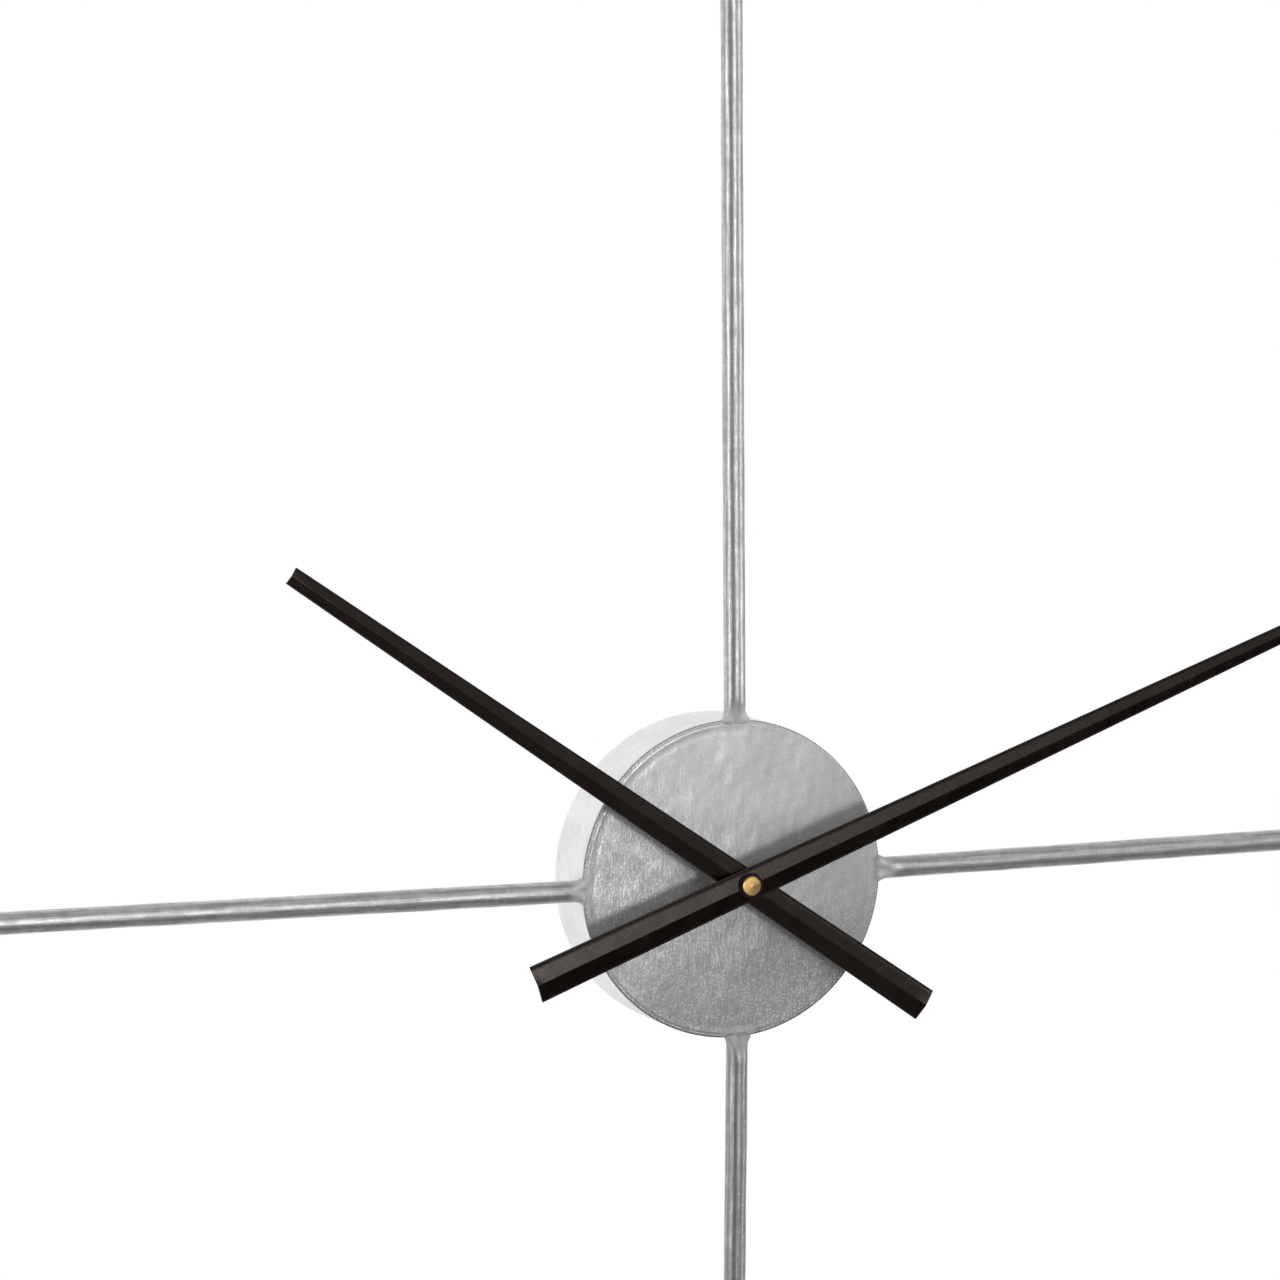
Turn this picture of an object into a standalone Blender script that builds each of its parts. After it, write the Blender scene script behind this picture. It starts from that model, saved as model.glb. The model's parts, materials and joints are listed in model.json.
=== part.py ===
"""Wall clock: a shallow metal drum with four welded rods, two long folded hands and a quartz movement.

The clock faces -Y, +X is to the viewer's right and +Z is up. The origin is on the spindle's axis, in the
plane of the wall. Sizes are in millimetres; the mesh builders turn them into metres.
"""
import math

import bmesh
import bpy
from mathutils import Vector

MM = 0.001

# ---- Driving sizes ---------------------------------------------------------------------------------
DRUM_RADIUS = 75.0
DRUM_DEPTH = 37.0
WALL_GAP = 2.0              # from the wall to the drum's back edge, taken up by the bumpers
SHEET = 2.0                 # thickness of the drum wall and of the front plate
ARM_REACH = 500.0           # from the spindle to the far end of a rod
ROD_RADIUS = 5.1
HOUR_HAND_HEIGHT = 15.4     # from the front plate to the hour hand's edges
MINUTE_HAND_HEIGHT = 19.05
HOUR_TIP, HOUR_TAIL = 269.8, 111.2
HOUR_TIP_WIDTH, HOUR_TAIL_WIDTH = 8.4, 15.7
MINUTE_TIP, MINUTE_TAIL = 330.0, 113.3
MINUTE_TIP_WIDTH, MINUTE_TAIL_WIDTH = 7.6, 17.9
HOUR_ANGLE = -55.25         # degrees clockwise from twelve
MINUTE_ANGLE = 69.3
CASE_TOP = 28.0             # from the spindle to the top of the movement case
BATTERY_RADIUS = 7.1
BATTERY_LENGTH = 50.5
NUT_RADIUS = 4.6

# ---- Clearances ------------------------------------------------------------------------------------
GAP = 0.3                   # between pieces that touch
RUN = 0.1                   # radial clearance of a turning shaft

# ---- Places along Y, from the wall forwards ----------------------------------------------------------
DRUM_BACK = -WALL_GAP
FACE = DRUM_BACK - DRUM_DEPTH
PLATE_BACK = FACE + SHEET
GASKET_THICKNESS = 0.9
CASE_FRONT = PLATE_BACK + GAP + GASKET_THICKNESS + GAP
CASE_WALL = 1.2
INSIDE_FRONT = CASE_FRONT + CASE_WALL

# ---- Drum, rods and hanger ---------------------------------------------------------------------------
BEAD_HEIGHT = 0.7           # of the front plate's edge above its face
BEAD_WIDTH = 4.0
LIP_WIDTH = 14.0
ROD_SET_BACK = 1.3          # rod axis behind the front plate's face
ROD_LAP = 3.6               # how far a rod's end lies over the edge of the plate
END_ROUND = 1.2             # rounding of a rod's far end
FLARE_RISE = 2.3            # how far the weld stands round a rod at the rim
FLARE_LENGTH = 7.0
ARM_DIRECTIONS = {"right": 0.0, "top": 90.0, "left": 180.0, "bottom": 270.0}
# The rods are welded by hand: at the rim each stands off the spindle's line, and it leans (degrees)
ARM_SHIFTS = {"right": 0.64, "top": -1.69, "left": 1.15, "bottom": 2.49}
ARM_LEANS = {"right": 0.22, "top": 0.12, "left": -0.56, "bottom": -0.81}
BUMPER_RADIUS = 5.0
BUMPER_CIRCLE = DRUM_RADIUS - LIP_WIDTH / 2.0
BUMPER_ANGLES = (45.0, 135.0, 225.0, 315.0)
HANGER_WIDTH = 44.0
HANGER_THICKNESS = 1.5
HANGER_RISE = DRUM_RADIUS - 6.0         # height of the hanger plate's top edge above the spindle
HANGER_HEIGHT = 31.0
KEYHOLE_RADIUS = 4.6
KEYHOLE_SLOT = 2.4                      # half the slot's width
KEYHOLE_Z = HANGER_RISE - 23.5
KEYHOLE_LENGTH = 9.0
SCREW_RADIUS = 1.5
HEAD_RADIUS, HEAD_HEIGHT = 2.8, 1.6
SLOT_HALF = 0.4
SCREW_SPREAD = 13.0
SCREW_Z = HANGER_RISE - 4.5

# ---- Spindle -----------------------------------------------------------------------------------------
BUSH_RADIUS = 4.0
BUSH_REACH = 10.5           # of the bush in front of the plate
BUSH_FLANGE = 6.0
BUSH_FLANGE_THICKNESS = 0.6
GASKET_RADIUS = 15.0
HOUR_TUBE_RADIUS = 2.5
ARBOR_RADIUS = 1.4
STUB_RADIUS = 1.1
WASHER_RADIUS = 7.0
WASHER_THICKNESS = 0.8
HEX_ACROSS = 11.0
HEX_THICKNESS = 2.2
FOLD_SLOPE = 0.26           # rise of a hand's ridge over half its width
HAND_SHEET = 0.9
GRIP = 0.15                 # radial gap of what is pressed on an arbor
COLLAR_RADIUS, COLLAR_LENGTH = 4.5, 3.4
SMALL_COLLAR_RADIUS, SMALL_COLLAR_LENGTH = 3.5, 0.9
NUT_WASHER_RADIUS, NUT_WASHER_THICKNESS = 6.0, 0.5
NUT_THICKNESS = 1.9

# ---- Wheels and pinions --------------------------------------------------------------------------------
# A tooth's depth below and height above the pitch line, in modules, and its half widths, in pitches
WHEEL_TOOTH = {"root": 1.15, "tip": 0.8, "root_half": 0.29, "tip_half": 0.11}
PINION_TOOTH = {"root": 1.2, "tip": 0.7, "root_half": 0.25, "tip_half": 0.10}
MOST_LEAVES = 20            # a gear with more teeth than this is a wheel
LAYER = 0.8                 # thickness of a wheel
LAYER_STEP = 1.3            # from one layer of the train to the next
WORK_STEP = 1.4             # from the hour wheel's layer to the minute wheel's
PIVOT_RADIUS = 0.6
CENTRE_TEETH, CENTRE_MODULE = 64, 0.34
THIRD_TEETH, THIRD_PINION, THIRD_MODULE = 60, 8, 0.36
SECONDS_TEETH, SECONDS_PINION, SECONDS_MODULE = 48, 8, 0.30
FIFTH_TEETH, FIFTH_PINION, FIFTH_MODULE = 40, 8, 0.26
ROTOR_PINION = 8
CANNON_PINION, MINUTE_TEETH, MINUTE_MODULE = 12, 36, 0.40
MINUTE_PINION, HOUR_TEETH, HOUR_MODULE = 10, 40, 0.384
SETTING_PINION = 10
THIRD_BEARING = 135.0       # directions from one arbor to the next, degrees from +X towards +Z
FIFTH_BEARING = 60.0
ROTOR_BEARING = 40.0
WORK_BEARING = 0.0
STUD_RADIUS = 0.5

# ---- Layers of wheels, along Y ------------------------------------------------------------------------
HOUR_LAYER = INSIDE_FRONT + 1.3
MINUTE_LAYER = HOUR_LAYER + WORK_STEP
CENTRE_LAYER = MINUTE_LAYER + LAYER_STEP
THIRD_LAYER = CENTRE_LAYER + LAYER_STEP
SECONDS_LAYER = THIRD_LAYER + LAYER_STEP
FIFTH_LAYER = SECONDS_LAYER + LAYER_STEP
BRIDGE_FRONT = FIFTH_LAYER + LAYER + 0.4
BRIDGE_BACK = BRIDGE_FRONT + LAYER
MAGNET_FRONT = BRIDGE_BACK + 0.3
STATOR_FRONT = BRIDGE_BACK + 0.4

# ---- Movement parts -----------------------------------------------------------------------------------
POST_RADIUS = 1.6
BAY_WALL = 0.7              # between the battery and the wheels
BAY_GAP = 0.2               # between the battery and its bay
WHEEL_GAP = 0.35            # between the centre wheel's teeth and the bay
KNOB_RADIUS = 4.5
KNOB_LENGTH = 5.0
KNOB_RIBS, RIB_DEPTH = 18, 0.35
STEM_RADIUS = 1.0
MAGNET_RADIUS, MAGNET_LENGTH = 2.6, 2.5
STATOR_THICKNESS = 1.0
STATOR_LEFT, STATOR_RIGHT = 13.0, 9.0   # the yoke's sides from the rotor's axis
STATOR_HALF = 4.0                       # half the yoke's height at the rotor
MAGNET_GAP = 0.6
COIL_RADIUS = 2.6
COIL_LENGTH = 13.4
COIL_CORE = 1.2
COIL_FLANGE = 0.8
CONTACT_THICKNESS = 0.4
CONTACT_BEND = 0.55         # how far a contact's middle stands in front of its ends
CONTACT_SIZE = 9.0
BOARD_WIDTH, BOARD_HEIGHT, BOARD_THICKNESS = 16.5, 11.5, 0.8
CHIP_RADIUS = 2.6
CRYSTAL_RADIUS, CRYSTAL_LENGTH = 1.0, 6.0
COVER_THICKNESS = 1.2
COVER_GAP = 0.4             # between the coil or the battery and the case's back

# ---- Movement case: its sides follow from what it holds --------------------------------------------------
CASE_SIDE = BATTERY_LENGTH / 2.0 + GAP + CONTACT_THICKNESS + CONTACT_BEND + GAP + CASE_WALL
BAY_TOP = -(CENTRE_MODULE * (CENTRE_TEETH / 2.0 + WHEEL_TOOTH["tip"]) + WHEEL_GAP + BAY_WALL)
BATTERY_Z = BAY_TOP - BAY_GAP - BATTERY_RADIUS
BATTERY_Y = INSIDE_FRONT + GAP + BATTERY_RADIUS
BAY_BOTTOM = BATTERY_Z - BATTERY_RADIUS - BAY_GAP
CASE_BOTTOM = BAY_BOTTOM - CASE_WALL
COIL_Y = STATOR_FRONT - 0.1 + COIL_RADIUS
COIL_Z = CASE_TOP - CASE_WALL - COIL_RADIUS - 2.4
SHELL_BACK = max(BATTERY_Y + BATTERY_RADIUS, COIL_Y + COIL_RADIUS, MAGNET_FRONT + MAGNET_LENGTH) + COVER_GAP
CASE_BACK = SHELL_BACK + GAP + COVER_THICKNESS

# ---- Colours with roughness and metal ------------------------------------------------------------------
SILVER = ((0.62, 0.62, 0.62), 0.42, 1.0)
WALL_SILVER = ((0.80, 0.80, 0.80), 0.40, 1.0)
ROD_SILVER = ((0.66, 0.66, 0.66), 0.38, 1.0)
HAND_BROWN = ((0.022, 0.016, 0.014), 0.38, 0.0)
BRASS = ((0.78, 0.56, 0.24), 0.30, 1.0)
STEEL = ((0.58, 0.58, 0.57), 0.35, 1.0)
RUBBER = ((0.03, 0.03, 0.03), 0.85, 0.0)
CASE_BLACK = ((0.025, 0.025, 0.027), 0.45, 0.0)
WHEEL_WHITE = ((0.82, 0.81, 0.77), 0.45, 0.0)
COPPER = ((0.72, 0.34, 0.16), 0.35, 1.0)
BOARD_GREEN = ((0.03, 0.17, 0.08), 0.50, 0.0)
BATTERY_GREY = ((0.16, 0.17, 0.19), 0.35, 0.0)


def clear_scene():
    """Remove every object and mesh that is already in the file."""
    for item in list(bpy.data.objects):
        bpy.data.objects.remove(item, do_unlink=True)
    for mesh in list(bpy.data.meshes):
        bpy.data.meshes.remove(mesh)


def finish(name, bm, look, location=(0.0, 0.0, 0.0)):
    """Turn a bmesh in millimetres into a named object in metres with its own material."""
    bmesh.ops.recalc_face_normals(bm, faces=bm.faces)
    bmesh.ops.scale(bm, vec=(MM, MM, MM), verts=bm.verts)
    mesh = bpy.data.meshes.new(name)
    bm.to_mesh(mesh)
    bm.free()
    item = bpy.data.objects.new(name, mesh)
    bpy.context.collection.objects.link(item)
    item.location = Vector(location) * MM
    if look is not None:
        item.data.materials.append(principled(name, *look))
    return item


def principled(name, colour, roughness, metallic):
    """Make the object's own Principled material."""
    material = bpy.data.materials.new(name)
    material.use_nodes = True
    shader = material.node_tree.nodes["Principled BSDF"]
    shader.inputs["Base Color"].default_value = (*colour, 1.0)
    shader.inputs["Roughness"].default_value = roughness
    shader.inputs["Metallic"].default_value = metallic
    return material


def combine(item, tool, operation):
    """Cut a tool out of an object, or join it on, and hide the tool."""
    modifier = item.modifiers.new(operation.lower(), "BOOLEAN")
    modifier.operation = operation
    modifier.solver = "EXACT"
    modifier.object = tool
    tool.hide_render = True
    tool.display_type = "WIRE"


def cut(item, tool):
    """Take a tool's shape away from an object."""
    combine(item, tool, "DIFFERENCE")


def join(item, tool):
    """Add a tool's shape to an object."""
    combine(item, tool, "UNION")


def polar(radius, degrees):
    """Return the point (x, z) at a radius and an angle from +X towards +Z."""
    angle = math.radians(degrees)
    return radius * math.cos(angle), radius * math.sin(angle)


def circle(radius, count=24, turn=0.0):
    """Return the corners of a regular outline round the origin."""
    return [polar(radius, turn + 360.0 * step / count) for step in range(count)]


def rectangle(left, bottom, right, top):
    """Return the four corners of a rectangle."""
    return [(left, bottom), (right, bottom), (right, top), (left, top)]


def ring(bm, outline, y):
    """Add an outline's corners and edges to a bmesh at one Y."""
    verts = [bm.verts.new((x, y, z)) for x, z in outline]
    edges = [bm.edges.new((verts[step - 1], verts[step])) for step in range(len(verts))]
    return verts, edges


def wall(bm, front, back):
    """Join two equal rings with faces."""
    for step in range(len(front)):
        bm.faces.new((front[step - 1], front[step], back[step], back[step - 1]))


def stack(name, look, sections, bore=None, place=(0.0, 0.0)):
    """Make one solid of prisms that follow each other along Y.

    A section is (outline, front, back). Where two sections meet, one outline lies inside the other.
    The bore is the outline of a hole through the whole stack.
    """
    bm = bmesh.new()
    open_edges = []
    for outline, front, back in sections:
        first, first_edges = ring(bm, outline, front)
        last, last_edges = ring(bm, outline, back)
        wall(bm, first, last)
        open_edges += [first_edges, last_edges]
    if bore:
        first, first_edges = ring(bm, bore, sections[0][1])
        last, last_edges = ring(bm, bore, sections[-1][2])
        wall(bm, first, last)
        open_edges[0] = open_edges[0] + first_edges
        open_edges[-1] = open_edges[-1] + last_edges
    planes = [open_edges[0]]
    planes += [open_edges[step] + open_edges[step + 1] for step in range(1, len(open_edges) - 1, 2)]
    planes.append(open_edges[-1])
    for edges in planes:
        bmesh.ops.triangle_fill(bm, use_beauty=True, edges=edges, normal=(0.0, 1.0, 0.0))
    bmesh.ops.remove_doubles(bm, verts=bm.verts, dist=0.0001)
    return finish(name, bm, look, (place[0], 0.0, place[1]))


def lathe(name, look, profile, count=32, place=(0.0, 0.0, 0.0), closed=False):
    """Turn a profile of (radius, y) points about the Y axis."""
    bm = bmesh.new()
    verts = [bm.verts.new((radius, y, 0.0)) for radius, y in profile]
    edges = [bm.edges.new((verts[step], verts[step + 1])) for step in range(len(verts) - 1)]
    if closed:
        edges.append(bm.edges.new((verts[-1], verts[0])))
    bmesh.ops.spin(bm, geom=verts + edges, axis=(0.0, 1.0, 0.0), cent=(0.0, 0.0, 0.0),
                   angle=2.0 * math.pi, steps=count, use_merge=True)
    bmesh.ops.remove_doubles(bm, verts=bm.verts, dist=0.0001)
    return finish(name, bm, look, place)


def aim(item, direction):
    """Turn an object so that its own +Y points along a direction."""
    item.rotation_euler = Vector(direction).to_track_quat("Y", "Z").to_euler()


def arc(centre_radius, centre_y, radius, start, end, steps):
    """Return profile points on an arc; angles in degrees from the radial direction towards +Y."""
    points = []
    for step in range(steps + 1):
        angle = math.radians(start + (end - start) * step / steps)
        points.append((centre_radius + radius * math.cos(angle), centre_y + radius * math.sin(angle)))
    return points


def gear(teeth, module, phase):
    """Return a gear outline with one tooth centred on the angle phase.

    Teeth are straight-sided. Their widths leave backlash for the straight sides to clear.
    """
    pitch = 360.0 / teeth
    form = WHEEL_TOOTH if teeth > MOST_LEAVES else PINION_TOOTH
    root = module * (teeth / 2.0 - form["root"])
    tip = module * (teeth / 2.0 + form["tip"])
    root_half = pitch * form["root_half"]
    tip_half = pitch * form["tip_half"]
    outline = []
    for tooth in range(teeth):
        middle = phase + pitch * tooth
        outline += [polar(root, middle - root_half), polar(tip, middle - tip_half),
                    polar(tip, middle + tip_half), polar(root, middle + root_half)]
    return outline


def mesh_phase(driver_phase, driver_teeth, driven_teeth, bearing):
    """Return the phase that puts a driven gear's gap opposite the driver's tooth along a bearing."""
    offset = (bearing - driver_phase) * driver_teeth / 360.0
    return bearing + 180.0 - (0.5 - offset) * 360.0 / driven_teeth


def centre_distance(first_teeth, second_teeth, module):
    """Return the distance between the axes of two meshed gears."""
    return module * (first_teeth + second_teeth) / 2.0


THIRD_AXIS = polar(centre_distance(CENTRE_TEETH, THIRD_PINION, CENTRE_MODULE), THIRD_BEARING)
FIFTH_AXIS = polar(centre_distance(SECONDS_TEETH, FIFTH_PINION, SECONDS_MODULE), FIFTH_BEARING)
ROTOR_STEP = polar(centre_distance(FIFTH_TEETH, ROTOR_PINION, FIFTH_MODULE), ROTOR_BEARING)
ROTOR_AXIS = (FIFTH_AXIS[0] + ROTOR_STEP[0], FIFTH_AXIS[1] + ROTOR_STEP[1])
MINUTE_AXIS = polar(centre_distance(CANNON_PINION, MINUTE_TEETH, MINUTE_MODULE), WORK_BEARING)
SETTING_STEP = polar(centre_distance(MINUTE_TEETH, SETTING_PINION, MINUTE_MODULE), WORK_BEARING)
SETTING_AXIS = (MINUTE_AXIS[0] + SETTING_STEP[0], MINUTE_AXIS[1] + SETTING_STEP[1])


def drum_wall():
    """Side of the drum with a lip turned in at the back."""
    inner = DRUM_RADIUS - SHEET
    lip = DRUM_RADIUS - LIP_WIDTH
    front = PLATE_BACK + GAP
    profile = [(inner, front), (DRUM_RADIUS, front)]
    profile += arc(DRUM_RADIUS - 1.0, DRUM_BACK - 1.0, 1.0, 0.0, 90.0, 2)
    profile += [(lip, DRUM_BACK), (lip, DRUM_BACK - SHEET), (inner, DRUM_BACK - SHEET)]
    item = lathe("drum_wall", WALL_SILVER, profile, count=72, closed=True)
    for side in (-1.0, 1.0):
        cut(item, stack("lip_hole_tool", None,
                        [(circle(SCREW_RADIUS + GAP, 16), DRUM_BACK - SHEET - 1.0, DRUM_BACK + 1.0)],
                        place=(side * SCREW_SPREAD, SCREW_Z)))
    return item


def front_plate():
    """Disc with a soft bead round its edge and a hole for the bush."""
    hole = BUSH_RADIUS + GAP
    middle = DRUM_RADIUS - BEAD_WIDTH / 2.0
    profile = [(hole, PLATE_BACK), (hole, FACE), (DRUM_RADIUS - BEAD_WIDTH, FACE),
               (middle - 1.0, FACE - 0.8 * BEAD_HEIGHT), (middle, FACE - BEAD_HEIGHT),
               (DRUM_RADIUS - 0.7, FACE - 0.5 * BEAD_HEIGHT), (DRUM_RADIUS, FACE + 0.5),
               (DRUM_RADIUS, PLATE_BACK)]
    return lathe("front_plate", SILVER, profile, count=72, closed=True)


def arm(side):
    """Round rod with a flared, welded root that laps over the plate's edge and a domed far end."""
    inner = -ROD_LAP
    outer = ARM_REACH - DRUM_RADIUS
    profile = [(0.0, inner), (0.55 * ROD_RADIUS, inner + 0.4), (0.88 * ROD_RADIUS, inner + 1.5),
                (ROD_RADIUS + FLARE_RISE, GAP + 0.6),
                (ROD_RADIUS + 0.45 * FLARE_RISE, GAP + 0.25 * FLARE_LENGTH),
               (ROD_RADIUS + 0.15 * FLARE_RISE, GAP + 0.55 * FLARE_LENGTH), (ROD_RADIUS, GAP + FLARE_LENGTH)]
    profile += arc(ROD_RADIUS - END_ROUND, outer - END_ROUND, END_ROUND, 0.0, 90.0, 3) + [(0.0, outer)]
    item = lathe("arm_" + side, ROD_SILVER, profile, count=20)
    x, z = polar(1.0, ARM_DIRECTIONS[side])
    shift = ARM_SHIFTS[side]
    root = (x * DRUM_RADIUS - z * shift, FACE + ROD_SET_BACK, z * DRUM_RADIUS + x * shift)
    item.location = Vector(root) * MM
    lean_x, lean_z = polar(1.0, ARM_DIRECTIONS[side] + ARM_LEANS[side])
    aim(item, (lean_x, 0.0, lean_z))
    tool = stack("rim_tool_" + side, None,
                 [(circle(DRUM_RADIUS + GAP, 72), FACE - BEAD_HEIGHT - GAP, DRUM_BACK)])
    cut(item, tool)
    return item


def hanger_plate():
    """Plate across the top of the drum's back, with a keyhole for the wall screw."""
    back = -0.2
    front = DRUM_BACK + GAP
    outline = rectangle(-HANGER_WIDTH / 2.0, HANGER_RISE - HANGER_HEIGHT, HANGER_WIDTH / 2.0, HANGER_RISE)
    item = stack("hanger_plate", STEEL, [(outline, front, back)])
    lower = (0.0, KEYHOLE_Z)
    keyhole = [(circle(KEYHOLE_RADIUS, 24), front - 1.0, back + 1.0)]
    cut(item, stack("keyhole_tool", None, keyhole, place=lower))
    slot = [(KEYHOLE_SLOT, 0.0)]
    slot += [(x, z + KEYHOLE_LENGTH) for x, z in (polar(KEYHOLE_SLOT, 22.5 * step) for step in range(9))]
    slot += [(-KEYHOLE_SLOT, 0.0)]
    cut(item, stack("slot_tool", None, [(slot, front - 1.2, back + 1.2)], place=lower))
    for side in (-1.0, 1.0):
        cut(item, stack("thread_tool", None,
                        [(circle(SCREW_RADIUS + GAP, 16), front - 1.0, back + 1.0)],
                        place=(side * SCREW_SPREAD, SCREW_Z)))
    return item


def hanger_screw(name, side):
    """Screw from inside the drum through its lip into the hanger plate."""
    seat = DRUM_BACK - SHEET - GAP
    sections = [(circle(HEAD_RADIUS, 16), seat - HEAD_HEIGHT, seat), (circle(SCREW_RADIUS, 16), seat, -0.5)]
    place = (side * SCREW_SPREAD, SCREW_Z)
    item = stack(name, STEEL, sections, place=place)
    slot = rectangle(-HEAD_RADIUS - 0.4, -SLOT_HALF, HEAD_RADIUS + 0.4, SLOT_HALF)
    driver = [(slot, seat - HEAD_HEIGHT - 0.4, seat - 0.5 * HEAD_HEIGHT)]
    cut(item, stack("driver_tool", None, driver, place=place))
    return item


def bumper(number, degrees):
    """Rubber foot between the drum's lip and the wall."""
    x, z = polar(BUMPER_CIRCLE, degrees)
    profile = [(0.0, DRUM_BACK + GAP), (BUMPER_RADIUS, DRUM_BACK + GAP), (BUMPER_RADIUS, -0.5),
               (BUMPER_RADIUS - 0.5, 0.0), (0.0, 0.0)]
    return lathe("bumper_%d" % number, RUBBER, profile, count=20, place=(x, 0.0, z))


def build_drum():
    """Everything that the wall carries, outside the movement."""
    drum_wall()
    front_plate()
    for side in ARM_DIRECTIONS:
        arm(side)
    hanger_plate()
    hanger_screw("hanger_screw_left", -1.0)
    hanger_screw("hanger_screw_right", 1.0)
    for number, degrees in enumerate(BUMPER_ANGLES, start=1):
        bumper(number, degrees)


def case_front():
    """Moulded shell with a wheel chamber and an open battery bay, four posts and the minute stud."""
    outline = rectangle(-CASE_SIDE, CASE_BOTTOM, CASE_SIDE, CASE_TOP)
    item = stack("case_front", CASE_BLACK, [(outline, CASE_FRONT, SHELL_BACK)])
    inner = CASE_SIDE - CASE_WALL
    chamber_top = CASE_TOP - CASE_WALL
    rooms = (("bay_tool", BAY_BOTTOM, BAY_TOP), ("chamber_tool", BAY_TOP + BAY_WALL, chamber_top))
    for label, bottom, top in rooms:
        room = [(rectangle(-inner, bottom, inner, top), INSIDE_FRONT, SHELL_BACK + 1.0)]
        cut(item, stack(label, None, room))
    for x, z in post_places():
        post = [(circle(POST_RADIUS, 12), INSIDE_FRONT - 0.5, BRIDGE_FRONT - GAP)]
        join(item, stack("post_tool", None, post, place=(x, z)))
    join(item, stack("stud_tool", None,
                     [(circle(STUD_RADIUS, 12), INSIDE_FRONT - 0.6, MINUTE_LAYER + LAYER + 0.1)],
                     place=MINUTE_AXIS))
    bush_hole = [(circle(BUSH_RADIUS + GAP, 24), CASE_FRONT - 1.0, INSIDE_FRONT + 1.0)]
    cut(item, stack("bush_tool", None, bush_hole))
    return item


def post_places():
    """Return where the bridge stands on the case, as (x, z)."""
    inset = CASE_WALL + POST_RADIUS + 1.0
    side = CASE_SIDE - inset
    top = CASE_TOP - inset
    bottom = BAY_TOP + BAY_WALL + POST_RADIUS + 1.0
    return [(-side, top), (side, top), (-side, bottom), (side, bottom)]


def case_rear():
    """Cover over the wheel chamber with a hole for the setting stem."""
    outline = rectangle(-CASE_SIDE, BAY_TOP, CASE_SIDE, CASE_TOP)
    item = stack("case_rear", CASE_BLACK, [(outline, SHELL_BACK + GAP, CASE_BACK)])
    cut(item, stack("stem_tool", None, [(circle(STEM_RADIUS + RUN, 16), SHELL_BACK - 1.0, CASE_BACK + 1.0)],
                    place=SETTING_AXIS))
    return item


def train_bridge():
    """Plate behind the wheels with a pivot hole for each arbor."""
    side = CASE_SIDE - CASE_WALL - GAP
    outline = rectangle(-side, BAY_TOP + BAY_WALL + GAP, side, CASE_TOP - CASE_WALL - GAP)
    item = stack("train_bridge", WHEEL_WHITE, [(outline, BRIDGE_FRONT, BRIDGE_BACK)])
    pivots = [((0.0, 0.0), PIVOT_RADIUS), (THIRD_AXIS, PIVOT_RADIUS), (FIFTH_AXIS, PIVOT_RADIUS),
              (ROTOR_AXIS, PIVOT_RADIUS), (SETTING_AXIS, STEM_RADIUS)]
    for place, radius in pivots:
        hole = [(circle(radius + RUN, 12), BRIDGE_FRONT - 1.0, BRIDGE_BACK + 1.0)]
        cut(item, stack("pivot_tool", None, hole, place=place))
    return item


def movement_gasket():
    """Rubber ring between the movement and the front plate."""
    front = PLATE_BACK + GAP
    stack("movement_gasket", RUBBER, [(circle(GASKET_RADIUS, 32), front, front + GASKET_THICKNESS)],
          bore=circle(BUSH_RADIUS + GAP, 32))


def bush():
    """Threaded tube, flanged inside the case, that carries the movement on the front plate."""
    flange = INSIDE_FRONT + GAP
    sections = [(circle(BUSH_RADIUS, 32), FACE - BUSH_REACH, flange),
                (circle(BUSH_FLANGE, 32), flange, flange + BUSH_FLANGE_THICKNESS)]
    stack("bush", BRASS, sections, bore=circle(HOUR_TUBE_RADIUS + RUN, 24))


def bush_hardware():
    """Washer and hex nut on the bush, in front of the plate."""
    washer_back = FACE - GAP
    washer_front = washer_back - WASHER_THICKNESS
    bore = circle(BUSH_RADIUS + GAP, 32)
    stack("plate_washer", STEEL, [(circle(WASHER_RADIUS, 32), washer_front, washer_back)], bore=bore)
    nut_back = washer_front - GAP
    corner = HEX_ACROSS / math.sqrt(3.0)
    stack("bush_nut", BRASS, [(circle(corner, 6), nut_back - HEX_THICKNESS, nut_back)], bore=bore)


def battery():
    """AA cell lying across the bottom of the case."""
    half = BATTERY_LENGTH / 2.0
    body = BATTERY_RADIUS
    profile = [(0.0, -half), (body - 0.8, -half), (body, -half + 0.8), (body, half - 2.2),
               (body - 0.8, half - 1.4), (2.7, half - 1.4), (2.7, half - 0.2), (2.3, half), (0.0, half)]
    item = lathe("battery", BATTERY_GREY, profile, count=28, place=(0.0, BATTERY_Y, BATTERY_Z))
    aim(item, (1.0, 0.0, 0.0))
    return item


def contact(name, side):
    """Strip beside one end of the battery, bent so that its middle springs against the cell."""
    outer = CASE_SIDE - CASE_WALL - GAP
    cell = BATTERY_LENGTH / 2.0 + GAP
    half = CONTACT_SIZE / 2.0
    outline = [(outer, -half), (cell + CONTACT_THICKNESS, 0.0), (outer, half),
               (outer - CONTACT_THICKNESS, half), (cell, 0.0), (outer - CONTACT_THICKNESS, -half)]
    bent = [(side * x, BATTERY_Z + z) for x, z in outline]
    stack(name, STEEL, [(bent, BATTERY_Y - half, BATTERY_Y + half)])


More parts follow.
